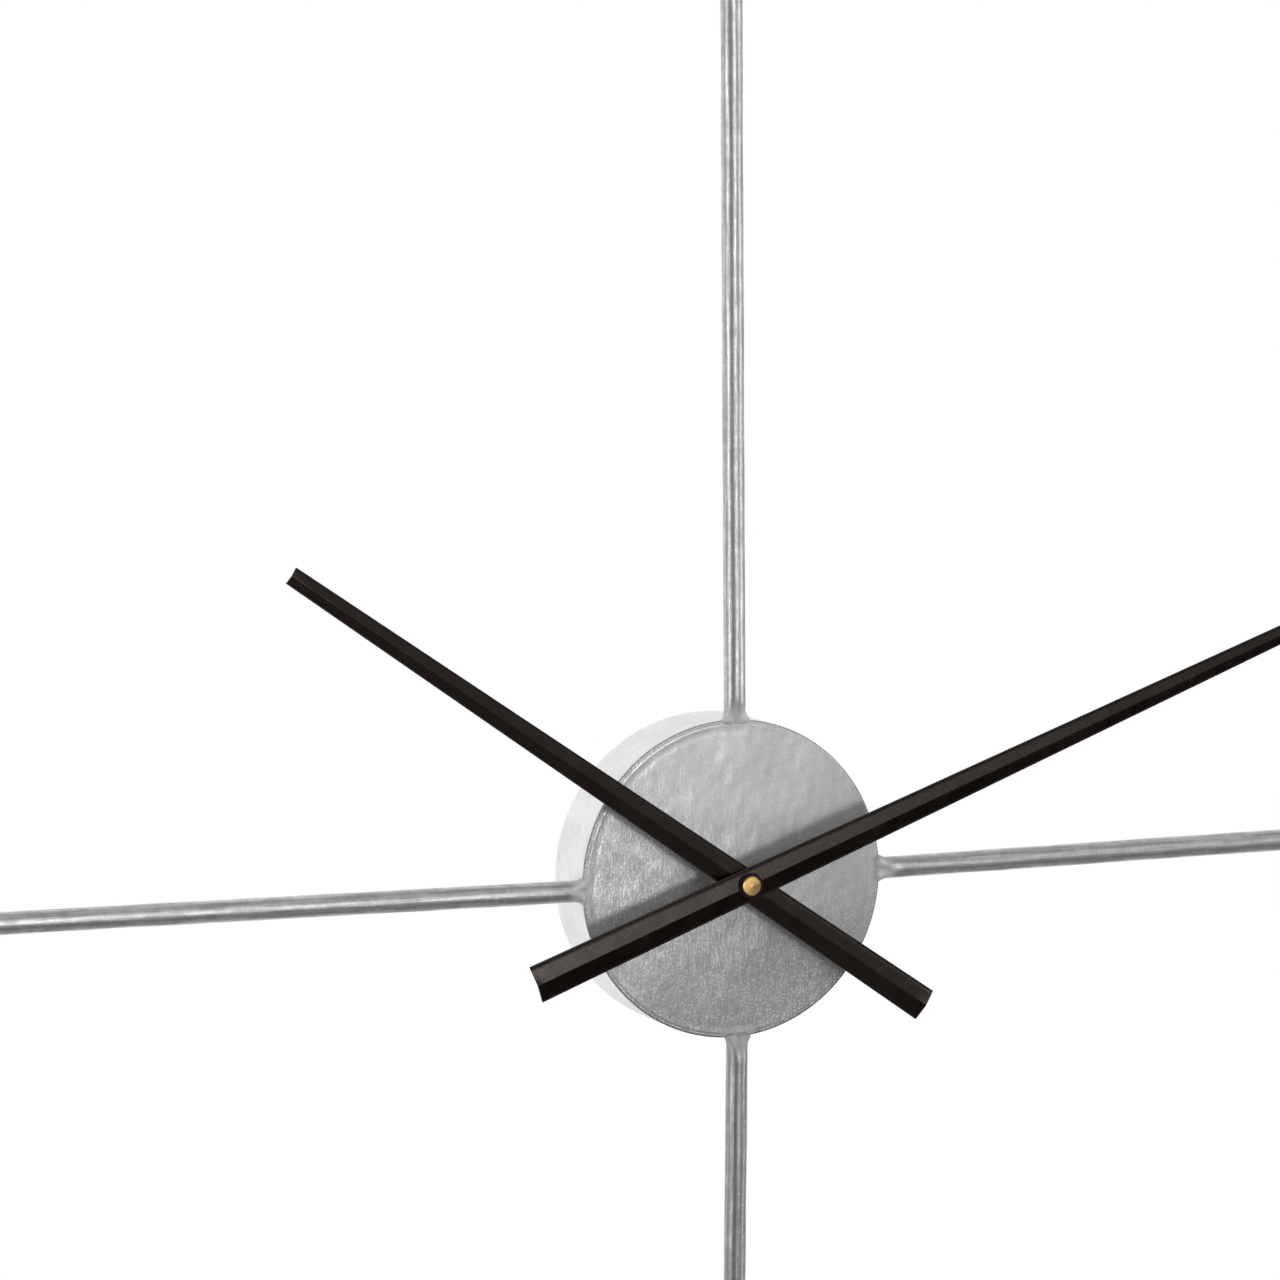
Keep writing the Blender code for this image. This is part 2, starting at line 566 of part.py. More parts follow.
def stator():
    """Soft-iron yoke round the rotor, with two legs beside the coil."""
    x, z = ROTOR_AXIS
    left, right = x - STATOR_LEFT, x + STATOR_RIGHT
    bottom, top, crotch = z - STATOR_HALF, COIL_Z + COIL_RADIUS, z + STATOR_HALF
    inner_left, inner_right = coil_span()[0] - GAP, coil_span()[1] + GAP
    outline = [(left, bottom), (right, bottom), (right, top), (inner_right, top), (inner_right, crotch),
               (inner_left, crotch), (inner_left, top), (left, top)]
    item = stack("stator", STEEL, [(outline, STATOR_FRONT, STATOR_FRONT + STATOR_THICKNESS)])
    cut(item, stack("rotor_tool", None,
                    [(circle(MAGNET_RADIUS + MAGNET_GAP, 24), STATOR_FRONT - 1.0, STATOR_FRONT + 2.0)],
                    place=ROTOR_AXIS))
    return item


def coil_span():
    """Return the coil's two ends along X."""
    middle = ROTOR_AXIS[0] - 2.0
    return middle - COIL_LENGTH / 2.0, middle + COIL_LENGTH / 2.0


def coil():
    """Copper winding on a plastic bobbin, above the rotor."""
    left, right = coil_span()
    place = ((left + right) / 2.0, COIL_Y, COIL_Z)
    end = COIL_LENGTH / 2.0
    cheek = end - COIL_FLANGE
    bobbin = lathe("coil_bobbin", WHEEL_WHITE,
                   [(0.0, -end), (COIL_RADIUS, -end), (COIL_RADIUS, -cheek), (COIL_CORE, -cheek),
                    (COIL_CORE, cheek), (COIL_RADIUS, cheek), (COIL_RADIUS, end), (0.0, end)],
                   count=24, place=place)
    aim(bobbin, (1.0, 0.0, 0.0))
    inside = cheek - GAP
    inner, outer = COIL_CORE + GAP, COIL_RADIUS - 0.2
    winding = lathe("coil_winding", COPPER,
                    [(inner, -inside), (outer, -inside), (outer, inside), (inner, inside)],
                    count=24, place=place, closed=True)
    aim(winding, (1.0, 0.0, 0.0))


def electronics():
    """Circuit board with its chip and the quartz crystal can."""
    left = -CASE_SIDE + CASE_WALL + 3.8
    middle = ROTOR_AXIS[1] - 3.2
    front = STATOR_FRONT + 0.6
    back = front + BOARD_THICKNESS
    outline = rectangle(left, middle - BOARD_HEIGHT / 2.0, left + BOARD_WIDTH, middle + BOARD_HEIGHT / 2.0)
    stack("circuit_board", BOARD_GREEN, [(outline, front, back)])
    seat = back + GAP
    dome = [(0.0, seat), (CHIP_RADIUS, seat), (CHIP_RADIUS - 0.5, seat + 0.6), (0.0, seat + 0.9)]
    lathe("chip", CASE_BLACK, dome,
          count=16, place=(left + 0.73 * BOARD_WIDTH, 0.0, middle))
    half = CRYSTAL_LENGTH / 2.0
    can = [(0.0, -half), (CRYSTAL_RADIUS, -half), (CRYSTAL_RADIUS, half), (0.0, half)]
    crystal = lathe("quartz_crystal", STEEL, can, count=12,
                    place=(left + 0.27 * BOARD_WIDTH, seat + CRYSTAL_RADIUS, middle))
    aim(crystal, (0.0, 0.0, 1.0))


def minute_arbor():
    """Arbor through the hour tube, with the cannon pinion and a stub for the centre wheel."""
    phase = 0.0
    sections = [(circle(ARBOR_RADIUS, 20), FACE - NUT_TOP, MINUTE_LAYER),
                (gear(CANNON_PINION, MINUTE_MODULE, phase), MINUTE_LAYER, MINUTE_LAYER + LAYER),
                (circle(STUB_RADIUS, 16), MINUTE_LAYER + LAYER, CENTRE_LAYER + LAYER + 0.1)]
    stack("minute_arbor", STEEL, sections)


def centre_wheel():
    """Wheel on the minute arbor's stub, driven once an hour."""
    teeth = gear(CENTRE_TEETH, CENTRE_MODULE, 0.0)
    stack("centre_wheel", WHEEL_WHITE, [(teeth, CENTRE_LAYER, CENTRE_LAYER + LAYER)],
          bore=circle(STUB_RADIUS + GRIP, 16))


def third_wheel():
    """Wheel and pinion between the centre wheel and the seconds wheel."""
    pinion_phase = mesh_phase(0.0, CENTRE_TEETH, THIRD_PINION, THIRD_BEARING)
    sections = [(circle(PIVOT_RADIUS, 12), INSIDE_FRONT + GAP, CENTRE_LAYER),
                (gear(THIRD_PINION, CENTRE_MODULE, pinion_phase), CENTRE_LAYER, THIRD_LAYER),
                (gear(THIRD_TEETH, THIRD_MODULE, 0.0), THIRD_LAYER, THIRD_LAYER + LAYER),
                (circle(PIVOT_RADIUS, 12), THIRD_LAYER + LAYER, BRIDGE_BACK + 0.1)]
    stack("third_wheel", WHEEL_WHITE, sections, place=THIRD_AXIS)


def seconds_phase():
    """Return the phase of the seconds pinion, set by the third wheel."""
    return mesh_phase(0.0, THIRD_TEETH, SECONDS_PINION, THIRD_BEARING + 180.0)


def seconds_wheel():
    """Wheel and pinion that turn once a minute, on the spindle's axis behind the centre wheel."""
    sections = [(gear(SECONDS_PINION, THIRD_MODULE, seconds_phase()), THIRD_LAYER, SECONDS_LAYER),
                (gear(SECONDS_TEETH, SECONDS_MODULE, 0.0), SECONDS_LAYER, SECONDS_LAYER + LAYER),
                (circle(PIVOT_RADIUS, 12), SECONDS_LAYER + LAYER, BRIDGE_BACK + 0.1)]
    stack("seconds_wheel", WHEEL_WHITE, sections)


def fifth_wheel():
    """Wheel and pinion between the seconds wheel and the rotor."""
    pinion_phase = mesh_phase(0.0, SECONDS_TEETH, FIFTH_PINION, FIFTH_BEARING)
    sections = [(gear(FIFTH_PINION, SECONDS_MODULE, pinion_phase), SECONDS_LAYER, FIFTH_LAYER),
                (gear(FIFTH_TEETH, FIFTH_MODULE, 0.0), FIFTH_LAYER, FIFTH_LAYER + LAYER),
                (circle(PIVOT_RADIUS, 12), FIFTH_LAYER + LAYER, BRIDGE_BACK + 0.1)]
    stack("fifth_wheel", WHEEL_WHITE, sections, place=FIFTH_AXIS)


def rotor():
    """Magnet in the stator with a pinion in front of the bridge."""
    pinion_phase = mesh_phase(0.0, FIFTH_TEETH, ROTOR_PINION, ROTOR_BEARING)
    sections = [(gear(ROTOR_PINION, FIFTH_MODULE, pinion_phase), FIFTH_LAYER, FIFTH_LAYER + LAYER),
                (circle(PIVOT_RADIUS, 12), FIFTH_LAYER + LAYER, MAGNET_FRONT),
                (circle(MAGNET_RADIUS, 24), MAGNET_FRONT, MAGNET_FRONT + MAGNET_LENGTH)]
    stack("rotor", STEEL, sections, place=ROTOR_AXIS)


def minute_wheel():
    """Motion-work wheel on the case's stud, between the cannon pinion and the hour wheel."""
    pinion_phase = 0.0
    wheel_phase = mesh_phase(0.0, CANNON_PINION, MINUTE_TEETH, WORK_BEARING)
    sections = [(gear(MINUTE_PINION, HOUR_MODULE, pinion_phase), HOUR_LAYER, MINUTE_LAYER),
                (gear(MINUTE_TEETH, MINUTE_MODULE, wheel_phase), MINUTE_LAYER, MINUTE_LAYER + LAYER)]
    stack("minute_wheel", WHEEL_WHITE, sections, bore=circle(STUD_RADIUS + RUN, 12), place=MINUTE_AXIS)


def hour_wheel():
    """Wheel and long tube that carry the hour hand."""
    phase = mesh_phase(0.0, MINUTE_PINION, HOUR_TEETH, WORK_BEARING + 180.0)
    sections = [(circle(HOUR_TUBE_RADIUS, 24), FACE - HOUR_TUBE_TOP, HOUR_LAYER),
                (gear(HOUR_TEETH, HOUR_MODULE, phase), HOUR_LAYER, HOUR_LAYER + LAYER)]
    stack("hour_wheel", BRASS, sections, bore=circle(ARBOR_RADIUS + RUN, 20))


def setting_knob():
    """Stem with a pinion on the minute wheel and a ribbed knob behind the case."""
    wheel_phase = mesh_phase(0.0, CANNON_PINION, MINUTE_TEETH, WORK_BEARING)
    pinion_phase = mesh_phase(wheel_phase, MINUTE_TEETH, SETTING_PINION, WORK_BEARING)
    knob_front = CASE_BACK + GAP
    ribs = []
    for step in range(KNOB_RIBS):
        turn = 360.0 * step / KNOB_RIBS
        ribs += [polar(KNOB_RADIUS, turn), polar(KNOB_RADIUS - RIB_DEPTH, turn + 180.0 / KNOB_RIBS)]
    sections = [(gear(SETTING_PINION, MINUTE_MODULE, pinion_phase), MINUTE_LAYER, MINUTE_LAYER + LAYER),
                (circle(STEM_RADIUS, 16), MINUTE_LAYER + LAYER, knob_front),
                (ribs, knob_front, knob_front + KNOB_LENGTH)]
    stack("setting_knob", CASE_BLACK, sections, place=SETTING_AXIS)


def build_movement():
    """The quartz movement, in the order in which it is put together."""
    case_front()
    bush()
    hour_wheel()
    minute_wheel()
    minute_arbor()
    centre_wheel()
    third_wheel()
    seconds_wheel()
    fifth_wheel()
    setting_knob()
    train_bridge()
    rotor()
    stator()
    coil()
    electronics()
    contact("contact_positive", 1.0)
    contact("contact_negative", -1.0)
    battery()
    case_rear()
    movement_gasket()
    bush_hardware()


def ridge_height(half_width):
    """Return how far a hand's ridge stands in front of its edges."""
    return FOLD_SLOPE * half_width


HOUR_HALF = 0.5 * (HOUR_TAIL_WIDTH + (HOUR_TIP_WIDTH - HOUR_TAIL_WIDTH) * HOUR_TAIL / (HOUR_TIP + HOUR_TAIL))
MINUTE_HALF = 0.5 * (MINUTE_TAIL_WIDTH
                     + (MINUTE_TIP_WIDTH - MINUTE_TAIL_WIDTH) * MINUTE_TAIL / (MINUTE_TIP + MINUTE_TAIL))
HOUR_RIDGE = HOUR_HAND_HEIGHT + ridge_height(HOUR_HALF)         # heights above the face at the spindle
MINUTE_RIDGE = MINUTE_HAND_HEIGHT + ridge_height(MINUTE_HALF)
HOUR_TUBE_TOP = HOUR_RIDGE + 0.1
NUT_SEAT = MINUTE_RIDGE + GAP + NUT_WASHER_THICKNESS + GAP
NUT_TOP = NUT_SEAT + 0.5 * NUT_THICKNESS


def hand(name, angle, height, tip, tail, tip_width, tail_width, hole):
    """Tapered strip folded along its middle, square at both ends, turned to its angle about the spindle."""
    bm = bmesh.new()
    ends = []
    for along, width in ((-tail, tail_width), (tip, tip_width)):
        half = width / 2.0
        ridge = ridge_height(half)
        section = [(-half, 0.0), (0.0, -ridge), (half, 0.0),
                   (half, HAND_SHEET), (0.0, HAND_SHEET - ridge), (-half, HAND_SHEET)]
        ends.append([bm.verts.new((x, FACE - height + y, along)) for x, y in section])
    wall(bm, ends[0], ends[1])
    for end in ends:
        bm.faces.new(end)
    item = finish(name, bm, HAND_BROWN)
    item.rotation_euler = (0.0, math.radians(angle), 0.0)
    hub = [(circle(hole, 20), FACE - height - 6.0, FACE - height + 6.0)]
    cut(item, stack(name + "_hole_tool", None, hub))
    return item


def collar(name, radius, bore, front, back):
    """Tube behind a hand that grips its arbor."""
    stack(name, BRASS, [(circle(radius, 24), front, back)], bore=circle(bore, 24))


def hour_hand():
    """Rear hand with its collar on the hour tube."""
    hand("hour_hand", HOUR_ANGLE, HOUR_HAND_HEIGHT, HOUR_TIP, HOUR_TAIL, HOUR_TIP_WIDTH, HOUR_TAIL_WIDTH,
         HOUR_TUBE_RADIUS + GAP)
    front = FACE - HOUR_RIDGE + HAND_SHEET + FOLD_SLOPE * COLLAR_RADIUS + GAP
    collar("hour_hand_collar", COLLAR_RADIUS, HOUR_TUBE_RADIUS + GRIP, front, front + COLLAR_LENGTH)


def minute_hand():
    """Front hand with its collar, washer and cap nut on the minute arbor."""
    hand("minute_hand", MINUTE_ANGLE, MINUTE_HAND_HEIGHT, MINUTE_TIP, MINUTE_TAIL,
         MINUTE_TIP_WIDTH, MINUTE_TAIL_WIDTH, ARBOR_RADIUS + GAP)
    front = FACE - MINUTE_RIDGE + HAND_SHEET + FOLD_SLOPE * SMALL_COLLAR_RADIUS + GAP
    collar("minute_hand_collar", SMALL_COLLAR_RADIUS, ARBOR_RADIUS + GRIP, front, front + SMALL_COLLAR_LENGTH)
    washer_back = FACE - MINUTE_RIDGE - GAP
    outline = circle(NUT_WASHER_RADIUS, 32)
    stack("nut_washer", HAND_BROWN, [(outline, washer_back - NUT_WASHER_THICKNESS, washer_back)],
          bore=circle(ARBOR_RADIUS + GAP, 20))


def cap_nut():
    """Turned brass nut with a shallow cone, closed in front and hollow for the end of the arbor."""
    back = FACE - NUT_SEAT
    front = back - NUT_THICKNESS
    bottom = FACE - NUT_TOP - GAP
    bore = ARBOR_RADIUS + GRIP
    profile = [(0.0, front), (0.6 * NUT_RADIUS, front + 0.08), (NUT_RADIUS - 0.35, front + 0.2),
               (NUT_RADIUS, front + 0.55), (NUT_RADIUS, back), (bore, back), (bore, bottom), (0.0, bottom)]
    lathe("cap_nut", BRASS, profile, count=32)


def build_hands():
    """Both hands and the hardware in front of them."""
    hour_hand()
    minute_hand()
    cap_nut()


def main():
    """Build the whole clock."""
    clear_scene()
    build_drum()
    build_movement()
    build_hands()


main()
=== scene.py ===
"""Looks of a wall clock: a silver-leafed drum with four welded rods, two folded hands and a quartz movement.

Lengths are in metres. The clock faces -Y, +X is to the viewer's right and +Z is up. Every place comes from
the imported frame; the fields of the classes below hold the small sizes that the frame doesn't have.
"""

import json
import logging
import math
from dataclasses import dataclass, field, replace
from enum import Enum

import bmesh
import bpy
import numpy as np
from mathutils import Matrix, Vector


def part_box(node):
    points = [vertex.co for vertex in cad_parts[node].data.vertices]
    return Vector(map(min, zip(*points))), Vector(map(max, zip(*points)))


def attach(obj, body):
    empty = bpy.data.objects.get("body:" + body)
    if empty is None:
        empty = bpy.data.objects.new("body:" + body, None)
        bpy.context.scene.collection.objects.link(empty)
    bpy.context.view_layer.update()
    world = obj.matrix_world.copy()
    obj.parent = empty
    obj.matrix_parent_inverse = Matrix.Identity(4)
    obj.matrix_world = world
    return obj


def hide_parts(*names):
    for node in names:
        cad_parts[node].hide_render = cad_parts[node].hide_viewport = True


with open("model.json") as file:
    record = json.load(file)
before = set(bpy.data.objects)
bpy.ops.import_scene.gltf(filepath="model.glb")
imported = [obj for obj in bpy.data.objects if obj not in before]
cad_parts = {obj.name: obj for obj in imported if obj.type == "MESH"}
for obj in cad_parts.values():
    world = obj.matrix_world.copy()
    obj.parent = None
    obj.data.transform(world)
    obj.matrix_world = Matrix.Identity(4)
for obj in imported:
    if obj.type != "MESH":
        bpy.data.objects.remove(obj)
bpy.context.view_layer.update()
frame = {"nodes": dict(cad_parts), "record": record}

LOG = logging.getLogger("clock")

Array = np.ndarray
Colour = tuple[float, float, float]
Piece = bpy.types.Object
Socket = bpy.types.NodeSocket
Tree = bpy.types.NodeTree
Triple = tuple[float, float, float]

BLACK = (0.0, 0.0, 0.0)
WHITE = (1.0, 1.0, 1.0)
MM = 0.001
TAU = 2.0 * math.pi
SAME_PLACE = 1e-7           # vertices closer than this are one
RECORD = frame["record"]
BODY_OF = {node: body for body, nodes in RECORD["behaviour"]["bodies"].items() for node in nodes}


# ---- What the frame says ---------------------------------------------------------------------------------

def vertices(mesh: bpy.types.Mesh) -> Array:
    """Vertices of a mesh.

    Args:
        mesh: The mesh.

    Returns:
        One row for each vertex.
    """
    flat = np.empty(len(mesh.vertices) * 3)
    mesh.vertices.foreach_get("co", flat)
    return flat.reshape(-1, 3)


def cloud(node: str) -> Array:
    """Vertices of a CAD node, one row each."""
    return vertices(frame["nodes"][node].data)


def spindle_distances(node: str) -> Array:
    """Distance of each vertex of a node from the spindle's axis, which is the Y axis."""
    points = cloud(node)
    return np.hypot(points[:, 0], points[:, 2])


def span(node: str, axis: int) -> tuple[float, float]:
    """Lowest and highest coordinate of a node along an axis."""
    low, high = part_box(node)
    return low[axis], high[axis]


def middle(node: str) -> Array:
    """Centre of a node's box."""
    low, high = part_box(node)
    return np.array((low + high) / 2.0)


# ---- Surfaces --------------------------------------------------------------------------------------------

class Ends(Enum):
    """How a surface is closed along its second direction."""

    POINTS = "each end is one point"
    LOOP = "the last row joins the first"
    FACES = "a flat face closes each end"


class Axis(Enum):
    """Axis that a profile is turned about."""

    X = 0
    Y = 1


def smooth(low: float, high: float, value: Array) -> Array:
    """Zero below low and one above high, with the cubic 3t^2 - 2t^3 between."""
    t = np.clip((value - low) / (high - low), 0.0, 1.0)
    return t * t * (3.0 - 2.0 * t)


def waves(a: Array, b: Array, length: float, seed: int, count: int = 12) -> Array:
    """Uneven surface between about -1 and 1.

    The formula is a mean of sine waves of about one length, each in a random direction with a random phase.

    Args:
        a: First coordinate of each point.
        b: Second coordinate of each point.
        length: Typical wave length.
        seed: Seed of the random directions.
        count: Number of waves.

    Returns:
        An array of the shape of a.
    """
    draw = np.random.default_rng(seed)
    turn = draw.uniform(0.0, TAU, count)
    rate = TAU / (length * draw.uniform(0.7, 1.6, count))
    phase = draw.uniform(0.0, TAU, count)
    angle = a[..., None] * (rate * np.cos(turn)) + b[..., None] * (rate * np.sin(turn)) + phase
    return np.sin(angle).sum(-1) / math.sqrt(count)


def rounded(corners: list[tuple[float, float]], radius: float, steps: int = 4, loop: bool = False) -> Array:
    """Profile whose corners are curves.

    Each corner P becomes the quadratic curve (1-t)^2 S + 2t(1-t) P + t^2 E, where S and E lie radius before
    and after it, or less on a short side.

    Args:
        corners: Points of the profile.
        radius: Length of each corner that is rounded away.
        steps: Number of spans in each curve.
        loop: Whether the last point joins the first.

    Returns:
        An array with one row for each point of the new profile.
    """
    points = np.array(corners, float)
    t = np.linspace(0.0, 1.0, steps + 1)[:, None]
    rows = []
    for number, corner in enumerate(points):
        if not loop and number in (0, len(points) - 1):
            rows.append(corner[None])
            continue
        before, after = points[number - 1] - corner, points[(number + 1) % len(points)] - corner
        gaps = np.linalg.norm(before), np.linalg.norm(after)
        start = corner + before / gaps[0] * min(radius, 0.45 * gaps[0])
        end = corner + after / gaps[1] * min(radius, 0.45 * gaps[1])
        rows.append((1 - t) ** 2 * start + 2 * t * (1 - t) * corner + t ** 2 * end)
    return np.concatenate(rows)


def divided(profile: Array, longest: float) -> Array:
    """Profile with points added along each straight span.

    Args:
        profile: Points of the profile.
        longest: Length that no span is longer than.

    Returns:
        An array with one row for each point of the new profile.
    """
    rows = [profile[:1]]
    for start, end in zip(profile[:-1], profile[1:]):
        count = max(1, math.ceil(np.linalg.norm(end - start) / longest))
        rows.append(start + (end - start) * np.linspace(0.0, 1.0, count + 1)[1:, None])
    return np.concatenate(rows)


def turned(profile: Array, count: int, centre: Array | Triple = (0.0, 0.0, 0.0),
           axis: Axis = Axis.Y) -> Array:
    """Grid of a profile turned about an axis.

    A point at distance r from the axis and place p along it becomes (r sin a, p, r cos a) for each angle a.

    Args:
        profile: Rows of distance from the axis and place along it.
        count: Number of angles.
        centre: Point that the axis goes through.
        axis: Axis that is turned about.

    Returns:
        An array of shape (count, rows, 3).
    """
    angle = (TAU * np.arange(count) / count)[:, None]
    distance, place = profile[:, 0][None], profile[:, 1][None] + 0.0 * angle
    grid = np.stack([distance * np.sin(angle), place, distance * np.cos(angle)], -1)
    if axis is Axis.X:
        grid = grid[..., [1, 0, 2]]
    return grid + np.array(centre)


def skin(name: str, grid: Array, ends: Ends, sharp: float = 40.0) -> Piece:
    """Closed mesh of a grid that goes round along its first direction.

    Each cell of the grid is one face. The UV map holds the share of the way round, and the length in metres
    along the second direction.

    Args:
        name: Name of the piece.
        grid: Array of shape (around, along, 3).
        ends: How the second direction is closed.
        sharp: Angle in degrees above which an edge isn't shaded smooth.

    Returns:
        The new piece, at the origin.
    """
    around, along = grid.shape[:2]
    index = np.arange(around * along).reshape(around, along)
    cells = along if ends is Ends.LOOP else along - 1
    i, j = np.meshgrid(np.arange(around), np.arange(cells), indexing="ij")
    next_i, next_j = (i + 1) % around, (j + 1) % along
    faces = np.stack([index[i, j], index[next_i, j], index[next_i, next_j], index[i, next_j]], -1)
    steps = np.linalg.norm(np.roll(grid, -1, 1) - grid, axis=-1).mean(0)
    length = np.concatenate([[0.0], np.cumsum(steps)])
    share = np.stack([i, i + 1, i + 1, i], -1) / around
    run = np.stack([length[j], length[j], length[j + 1], length[j + 1]], -1)
    loops = np.stack([share, run], -1).reshape(-1)
    polygons = faces.reshape(-1, 4).tolist()
    if ends is Ends.FACES:
        polygons += [index[::-1, 0].tolist(), index[:, -1].tolist()]
        loops = np.concatenate([loops, np.zeros(4 * around)])
    mesh = bpy.data.meshes.new(name)
    mesh.from_pydata(grid.reshape(-1, 3).tolist(), [], polygons)
    mesh.uv_layers.new(name="along").data.foreach_set("uv", loops)
    return placed(name, mesh, sharp)


def placed(name: str, mesh: bpy.types.Mesh, sharp: float = 40.0) -> Piece:
    """Cleans a closed mesh, turns its faces outward, shades it and puts it in the scene.

    Args:
        name: Name of the piece.
        mesh: Its mesh.
        sharp: Angle in degrees above which an edge isn't shaded smooth.

    Returns:
        The new piece, at the origin.
    """
    work = bmesh.new()
    work.from_mesh(mesh)
    bmesh.ops.remove_doubles(work, verts=work.verts, dist=SAME_PLACE)
    bmesh.ops.recalc_face_normals(work, faces=work.faces)
    work.to_mesh(mesh)
    work.free()
    mesh.shade_smooth()
    mesh.set_sharp_from_angle(angle=math.radians(sharp))
    piece = bpy.data.objects.new(name, mesh)
    bpy.context.scene.collection.objects.link(piece)
    return piece


def marked(piece: Piece, name: str, values: Array) -> Piece:
    """Piece with a value at each vertex, which its finish reads by name."""
    piece.data.attributes.new(name, "FLOAT", "POINT").data.foreach_set("value", values.astype(np.float32))
    return piece


def eased(name: str, node: str, width: float, segments: int = 3) -> Piece:
    """Copy of a CAD node with every sharp edge rounded.

    Args:
        name: Name of the new piece.
        node: CAD node that is copied.
        width: Width of the rounding.
        segments: Number of faces across the rounding.

    Returns:
        The new piece, with its rounding as a modifier.
    """
    mesh = frame["nodes"][node].data.copy()
    mesh.materials.clear()
    work = bmesh.new()
    work.from_mesh(mesh)
    bmesh.ops.remove_doubles(work, verts=work.verts, dist=0.002 * MM)
    bmesh.ops.dissolve_limit(work, angle_limit=math.radians(0.5), verts=work.verts, edges=work.edges)
    work.to_mesh(mesh)
    work.free()
    mesh.name = name
    mesh.shade_smooth()
    piece = bpy.data.objects.new(name, mesh)
    bpy.context.scene.collection.objects.link(piece)
    bevel = piece.modifiers.new("rounding", "BEVEL")
    bevel.width = width
    bevel.segments = segments
    bevel.limit_method = "ANGLE"
    bevel.angle_limit = math.radians(35.0)
    bevel.harden_normals = True
    return piece


def bored(piece: Piece, radius: float, low: float, high: float) -> Piece:
    """Piece with a round hole along the spindle's axis, made with a cutter that is then removed.

    Args:
        piece: The piece.
        radius: Radius of the hole.
        low: Where the cutter starts, in front of the piece.
        high: Where the cutter ends, behind the piece.

    Returns:
        The piece, with its hole.
    """
    outline = np.array([(0.0, low), (radius, low), (radius, high), (0.0, high)])
    hole = skin("hole_cutter", turned(outline, 48), Ends.POINTS)
    cut = piece.modifiers.new("hole", "BOOLEAN")
    cut.object = hole
    cut.solver = "EXACT"
    bpy.context.view_layer.update()
    final = bpy.data.meshes.new_from_object(piece.evaluated_get(bpy.context.evaluated_depsgraph_get()))
    piece.modifiers.remove(cut)
    piece.data = final
    bpy.data.objects.remove(hole)
    return piece


# ---- Shader nodes ----------------------------------------------------------------------------------------

def node(tree: Tree, kind: str, inputs: dict[str | int, object] | None = None,
         **settings: object) -> bpy.types.Node:
    """New shader node.

    Args:
        tree: Tree that it goes in.
        kind: Blender's name of its type.
        inputs: Values of its inputs; one that is a socket is linked.
        settings: Its other properties.

    Returns:
        The node.
    """
    made = tree.nodes.new(kind)
    for key, value in settings.items():
        setattr(made, key, value)
    for key, value in (inputs or {}).items():
        if isinstance(value, Socket):
            tree.links.new(value, made.inputs[key])
        else:
            made.inputs[key].default_value = value
    return made


def step(tree: Tree, operation: str, *values: object) -> Socket:
    """Result of one arithmetic operation on values, each a socket or a number."""
    return node(tree, "ShaderNodeMath", dict(enumerate(values)), operation=operation).outputs[0]


def vector_step(tree: Tree, operation: str, *values: object) -> Socket:
    """Result of one arithmetic operation on vectors: a value for a product or a length, or else a vector."""
    made = node(tree, "ShaderNodeVectorMath", dict(enumerate(values)), operation=operation)
    return made.outputs["Value" if operation in ("DOT_PRODUCT", "LENGTH") else "Vector"]


def between(tree: Tree, share: Socket, first: Socket | float, second: Socket) -> Socket:
    """Mix of two values."""
    return node(tree, "ShaderNodeMix", {0: share, 2: first, 3: second}).outputs[0]


def blend(tree: Tree, share: Socket | float, first: object, second: object) -> Socket:
    """Mix of two colours, each a socket or three numbers."""
    first, second = [value if isinstance(value, Socket) else (*value, 1.0) for value in (first, second)]
    return node(tree, "ShaderNodeMix", {0: share, 6: first, 7: second}, data_type="RGBA").outputs[2]


def mark(tree: Tree, name: str) -> Socket:
    """Value that a piece has at each of its vertices, by name."""
    return node(tree, "ShaderNodeAttribute", attribute_name=name).outputs["Fac"]


def ramp(tree: Tree, value: Socket, low: Socket | float, high: Socket | float, start: Socket | float = 0.0,
         end: float = 1.0) -> Socket:
    """Value carried from the range low to high onto the range start to end, with soft ends."""
    inputs = {"Value": value, "From Min": low, "From Max": high, "To Min": start, "To Max": end}
    return node(tree, "ShaderNodeMapRange", inputs, interpolation_type="SMOOTHSTEP").outputs["Result"]


def sums(tree: Tree, *terms: tuple[Socket, float]) -> Socket:
    """Sum of values, each times a number.

    Args:
        tree: Tree that the sum goes in.
        terms: Each value with its number.

    Returns:
        The sum.
    """
    total = 0.0
    for value, share in terms:
        total = step(tree, "MULTIPLY_ADD", value, share, total)
    return total


